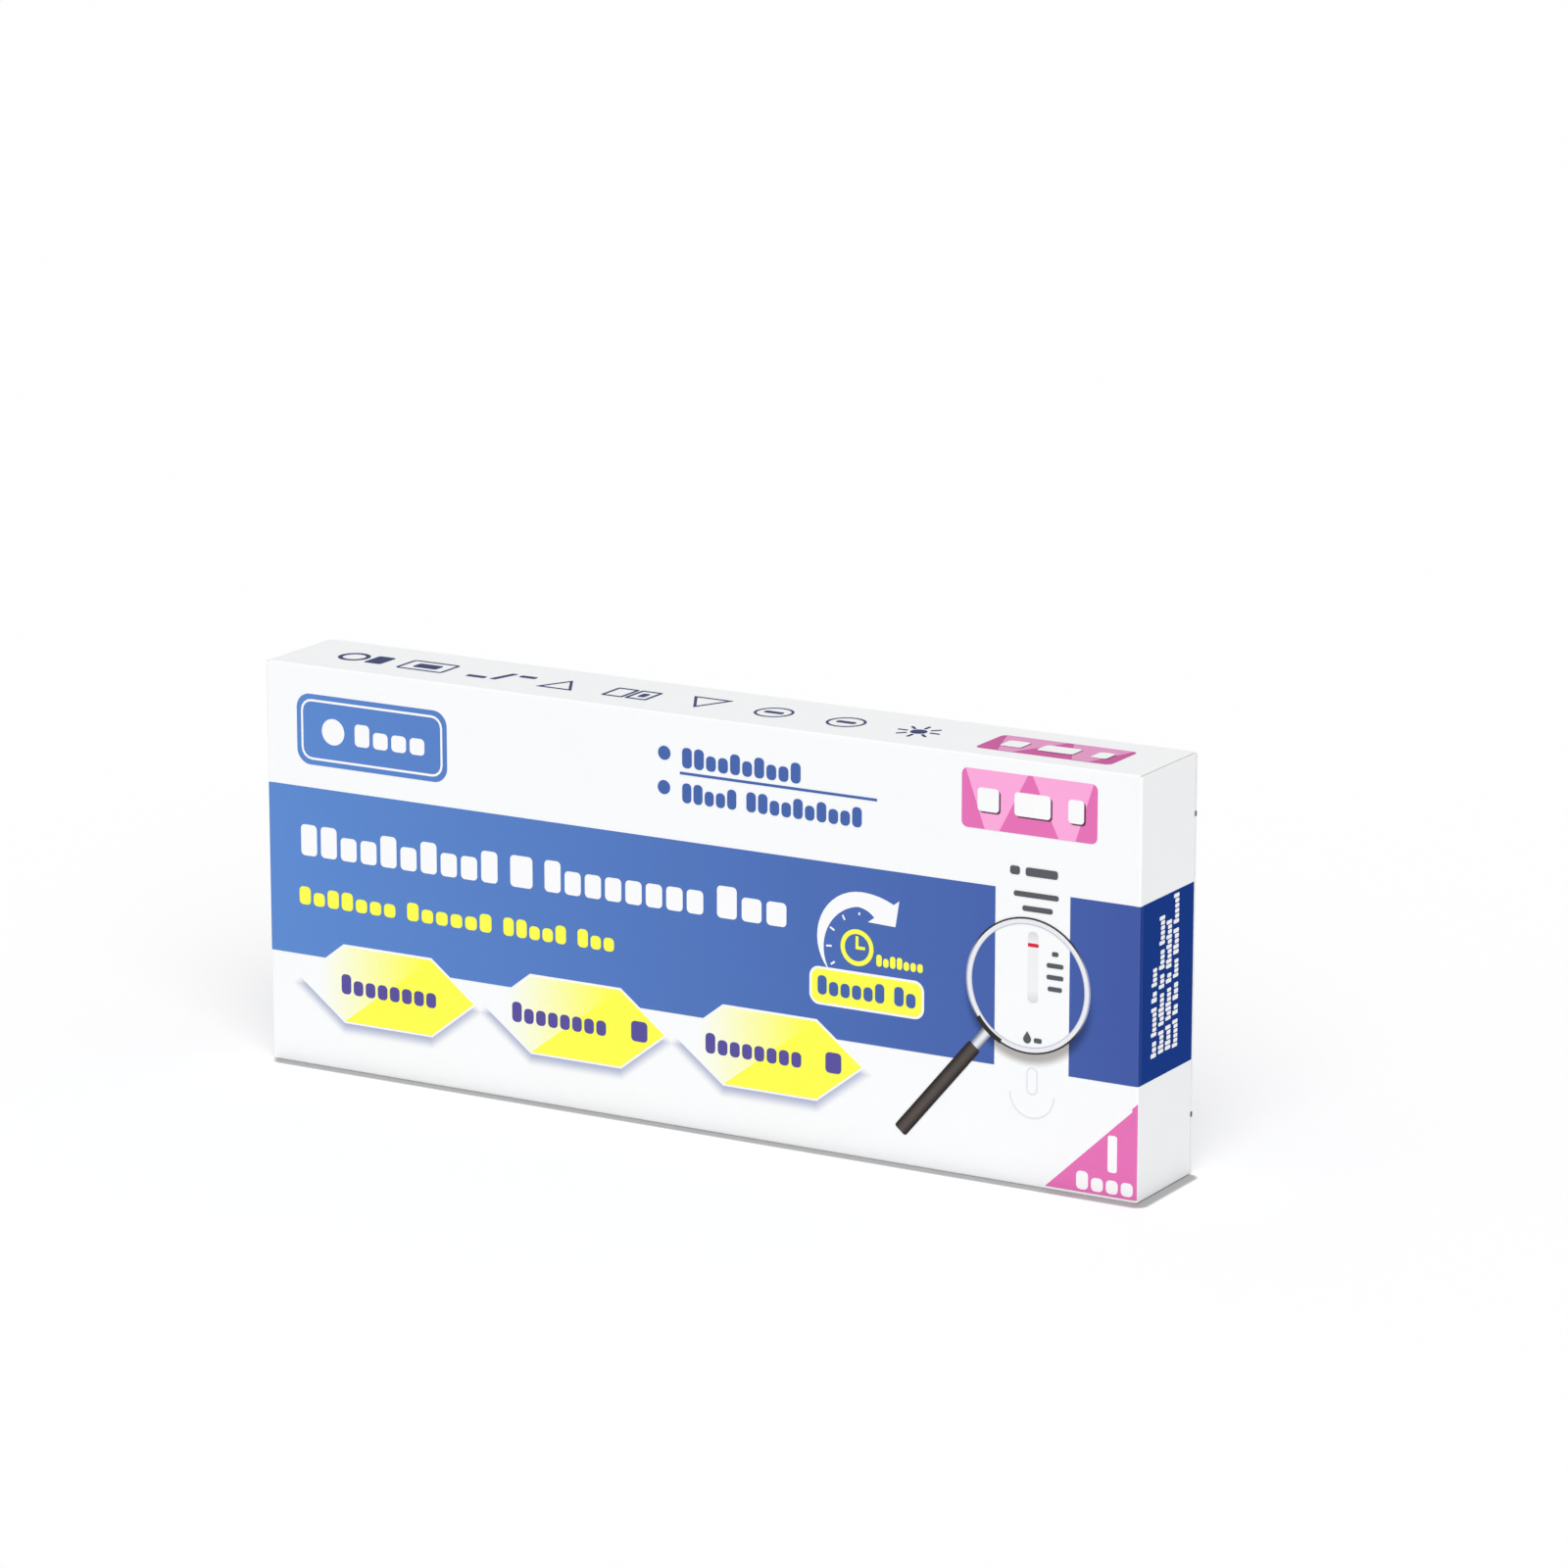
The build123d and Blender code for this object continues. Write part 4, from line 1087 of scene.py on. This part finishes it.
class CARTON_OT_other_words(bpy.types.Operator):
    """Print the small lines of the right end and the words of the back panel"""

    bl_idname = "carton.other_words"
    bl_label = "End and back words"

    def execute(self, context):
        inks, sizes = inks_of(context)
        white = ink_material("small_white", inks.paper_white, inks, sizes)
        drawing = bmesh.new()
        for across, spans in END_LINES:
            line = bmesh.new()
            letters(line, (0.0, 2.1, 0.92, spans), 0.25)
            upright = Matrix.Translation((across, 0, 0)) @ Matrix.Rotation(pi / 2, 4, "Z")
            bmesh.ops.transform(line, matrix=upright, verts=line.verts)
            merge_into(drawing, line)
        printed("end_words", drawing, RIGHT_END, 1, white, "right_end")
        drawing = bmesh.new()
        for *row, corner in BACK_WORDS:
            words(drawing, row, corner)
        printed("back_words", drawing, BACK, 1, white)
        return {"FINISHED"}


class CARTON_OT_creases(bpy.types.Operator):
    """Lay the folded skin over the end flaps' and tuck flaps' creases"""

    bl_idname = "carton.creases"
    bl_label = "Creases"

    def execute(self, context):
        inks, sizes = inks_of(context)
        skin = crease_material(inks, sizes)
        plain = ink_material("crease_board", inks.board, inks, sizes)
        for side, name in ((1, "right"), (-1, "left")):
            self.front_crease(name, side, sizes, skin)
            self.tuck_crease(name, side, sizes, plain)
        return {"FINISHED"}

    def front_crease(self, name, side, sizes, material):
        """A thin skin from the display panel round the fold to the end flap."""
        low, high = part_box(name + "_end_flap")
        proud = INK + sizes.layer / 2
        radius = sizes.fold_radius + proud
        centre = Vector((side * (BOARD_HIGH.x - sizes.fold_radius), BOARD_LOW.y + sizes.fold_radius, 0))
        drawing = bmesh.new()
        start = centre + Vector((-side * sizes.crease_reach, -radius, 0))
        edge = drawing.edges.new([drawing.verts.new(start + Vector((0, 0, z))) for z in (low.z, high.z)])
        last = self.run_on(drawing, [edge], (side * sizes.crease_reach, 0, 0))
        turned = bmesh.ops.spin(
            drawing, geom=list(last[0].verts) + last, cent=centre, axis=(0, 0, side), angle=pi / 2,
            steps=6, use_duplicate=False,
        )["geom_last"]
        edges = [item for item in turned if isinstance(item, bmesh.types.BMEdge)]
        self.run_on(drawing, edges, (0, sizes.crease_reach, 0))
        piece = self.skin(name + "_end_crease", drawing, material, 0.05 * MM)
        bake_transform(piece)

    def tuck_crease(self, name, side, sizes, material):
        """A thin skin from the end flap's rear edge to the tuck flap, between the slits."""
        flap_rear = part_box(name + "_end_flap")[1].y
        tuck_low, tuck_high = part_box(name + "_tuck_flap")
        reach = sizes.crease_reach
        inner = max(abs(tuck_low.x), abs(tuck_high.x))
        points = (
            (BOARD_HIGH.x - 0.1 * MM, flap_rear + 0.02 * MM),
            (inner, flap_rear + 0.02 * MM),
            (inner - 0.4 * MM, tuck_high.y + 0.02 * MM),
            (inner - 0.4 * MM - reach, tuck_high.y + 0.02 * MM),
        )
        drawing = bmesh.new()
        x, y = side * points[0][0], points[0][1]
        ends = [drawing.verts.new((x, y, z)) for z in (SLIT_END * MM, BOARD_HIGH.z - SLIT_END * MM)]
        edges = [drawing.edges.new(ends)]
        for (x0, y0), (x1, y1) in zip(points, points[1:]):
            edges = self.run_on(drawing, edges, (side * (x1 - x0), y1 - y0, 0))
        piece = self.skin(name + "_tuck_crease", drawing, material, 0.02 * MM)
        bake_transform(piece)

    def run_on(self, drawing, edges, way):
        """Carries a strip's last edge on by a flat stretch, and gives the edge that it ends at."""
        made = bmesh.ops.extrude_edge_only(drawing, edges=edges)["geom"]
        ends = [item for item in made if isinstance(item, bmesh.types.BMVert)]
        bmesh.ops.translate(drawing, vec=way, verts=ends)
        edges = [item for item in made if isinstance(item, bmesh.types.BMEdge)]
        return [edge for edge in edges if set(edge.verts) == set(ends)]

    def skin(self, name, drawing, material, thickness):
        """Closes a folded strip into a thin sheet, inwards from its outer side."""
        bmesh.ops.recalc_face_normals(drawing, faces=drawing.faces)
        bmesh.ops.solidify(drawing, geom=drawing.faces[:], thickness=thickness)
        return as_piece(name, drawing, material)


class CARTON_OT_contents(bpy.types.Operator):
    """Finish what the carton holds"""

    bl_idname = "carton.contents"
    bl_label = "Contents"

    def execute(self, context):
        inks, sizes = inks_of(context)
        give("instruction_leaflet", leaflet_material(inks, sizes))
        give("foil_pouch", foil_material("pouch_foil", inks, 0.006))
        give("tube_foil_lid", foil_material("lid_foil", inks, 0.003))
        give("swab_wrapper_back", moulded_material("wrapper_paper", screen(240, 240, 236), 0.75))
        give("swab_wrapper_film", clear_material("wrapper_film", screen(236, 242, 246), 0.25, 0.12))
        give("swab_shaft", moulded_material("swab_stick", screen(240, 240, 238), 0.35))
        give("swab_tip", flock_material())
        give("extraction_tube", clear_material("tube_plastic", screen(232, 238, 240), 0.55, 0.25))
        give("extraction_liquid", clear_material("buffer_liquid", screen(214, 232, 240), 0.5, 0.05))
        give("dropper_cap", moulded_material("cap_plastic", screen(238, 238, 234), 0.4))
        return {"FINISHED"}


class CARTON_OT_stage(bpy.types.Operator):
    """Set the floor, the lamps, the world and the camera"""

    bl_idname = "carton.stage"
    bl_label = "Stage"

    def execute(self, context):
        stage = context.scene.carton_stage
        self.floor(stage)
        self.world(context, stage)
        self.key(context, stage)
        self.camera(context, stage)
        context.scene.view_settings.view_transform = "Standard"
        return {"FINISHED"}

    def floor(self, stage):
        """A pale floor that goes to plain white for the camera and still takes shadows, with a painted
        contact shade beside the carton's base.
        """
        material, tree, shader = new_material("floor_white", 0.0)
        # Painted contact shade: near the carton's base at the front and right the floor takes the contact
        # colour and loses its glow
        shift, edge = self.painted_shade_base(stage.painted_contact_reach)
        size = vector(tree, "ABSOLUTE", vector(tree, "SUBTRACT", here(tree), shift))
        past = vector(tree, "MAXIMUM", vector(tree, "SUBTRACT", size, edge))
        away = vector(tree, "LENGTH", past, output="Value")
        shade = ramp(tree, away, 0.6 * stage.painted_contact_reach, stage.painted_contact_reach)
        colour = mixed(tree, shade, linear(stage.contact), (0.9, 0.9, 0.905, 1.0))
        tree.links.new(colour, shader.inputs["Base Color"])
        shader.inputs["Roughness"].default_value = 0.9
        strength = product(tree, self.seen(tree), shade, 0.19)
        glow = wire(tree, "ShaderNodeEmission", {"Strength": strength})
        both = wire(tree, "ShaderNodeAddShader", {0: shader.outputs[0], 1: glow.outputs[0]})
        tree.links.new(both.outputs[0], tree.nodes["Material Output"].inputs["Surface"])
        drawing = bmesh.new()
        bmesh.ops.create_grid(drawing, x_segments=1, y_segments=1, size=stage.floor_size / 2)
        floor = as_piece("floor", drawing, material)

    def painted_shade_base(self, reach):
        """The middle and half size of the rectangle that the painted contact shade runs round.

        It is drawn in at the left and the rear, so that the painted shade shows at the front and right alone.
        """
        half = reach / 2
        return (half, -half, 0.0), (BOARD_HIGH.x - half, BOARD_HIGH.y - half, 0.0)

    def seen(self, tree):
        """1 for what the camera sees, straight or by a shine or through a clear thing."""
        path = wire(tree, "ShaderNodeLightPath")
        by_shine = maths(tree, "MAXIMUM", path.outputs["Is Camera Ray"], path.outputs["Is Glossy Ray"])
        return maths(tree, "MAXIMUM", by_shine, path.outputs["Is Transmission Ray"])

    def world(self, context, stage):
        """Even light, with plain white behind the object."""
        world = bpy.data.worlds.new("studio")
        context.scene.world = world
        world.use_nodes = True
        tree = world.node_tree
        strength = spread(tree, self.seen(tree), stage.world_light, 1.0)
        tree.links.new(strength, tree.nodes["Background"].inputs["Strength"])
        tree.nodes["Background"].inputs["Color"].default_value = (1.0, 1.0, 1.0, 1.0)

    def key(self, context, stage):
        """One wide soft light from the front, the right and above."""
        data = bpy.data.lights.new("key_light", "SUN")
        data.energy = stage.key_light
        data.angle = stage.key_softness
        lamp = bpy.data.objects.new("key_light", data)
        source = Vector(stage.key_from)
        lamp.location = source
        lamp.rotation_euler = source.to_track_quat("Z", "Y").to_euler()
        context.scene.collection.objects.link(lamp)

    def camera(self, context, stage):
        """The camera, at the photograph's place and angle."""
        data = bpy.data.cameras.new("camera")
        data.lens = stage.lens
        camera = bpy.data.objects.new("camera", data)
        camera.location = stage.camera_place
        camera.rotation_euler = (pi / 2 - stage.camera_tilt, 0.0, stage.camera_turn)
        context.scene.collection.objects.link(camera)
        context.scene.camera = camera


STEPS = (
    CARTON_OT_board, CARTON_OT_fields, CARTON_OT_titles, CARTON_OT_screening, CARTON_OT_badges,
    CARTON_OT_clock, CARTON_OT_cassette, CARTON_OT_lens, CARTON_OT_symbols, CARTON_OT_other_words,
    CARTON_OT_creases, CARTON_OT_contents, CARTON_OT_stage,
)


class CARTON_PT_finishes(bpy.types.Panel):
    """Lists the carton's finishing steps and their colours"""

    bl_idname = "CARTON_PT_finishes"
    bl_label = "Carton finishes"
    bl_space_type = "VIEW_3D"
    bl_region_type = "UI"
    bl_category = "Carton"

    def draw(self, context):
        for step in STEPS:
            self.layout.operator(step.bl_idname)
        scene = context.scene
        for values in (scene.carton_inks, scene.carton_sizes, scene.carton_stage):
            box = self.layout.box()
            for name in values.__annotations__:
                box.prop(values, name)


CLASSES = (CartonInks, CartonSizes, CartonStage, *STEPS, CARTON_PT_finishes)


def register():
    for one in CLASSES:
        bpy.utils.register_class(one)
    bpy.types.Scene.carton_inks = PointerProperty(type=CartonInks)
    bpy.types.Scene.carton_sizes = PointerProperty(type=CartonSizes)
    bpy.types.Scene.carton_stage = PointerProperty(type=CartonStage)


def unregister():
    del bpy.types.Scene.carton_stage
    del bpy.types.Scene.carton_sizes
    del bpy.types.Scene.carton_inks
    for one in reversed(CLASSES):
        bpy.utils.unregister_class(one)


def main():
    """Runs every step in order."""
    register()
    for step in STEPS:
        section, name = step.bl_idname.split(".")
        getattr(getattr(bpy.ops, section), name)()


if __name__ == "__main__":
    main()
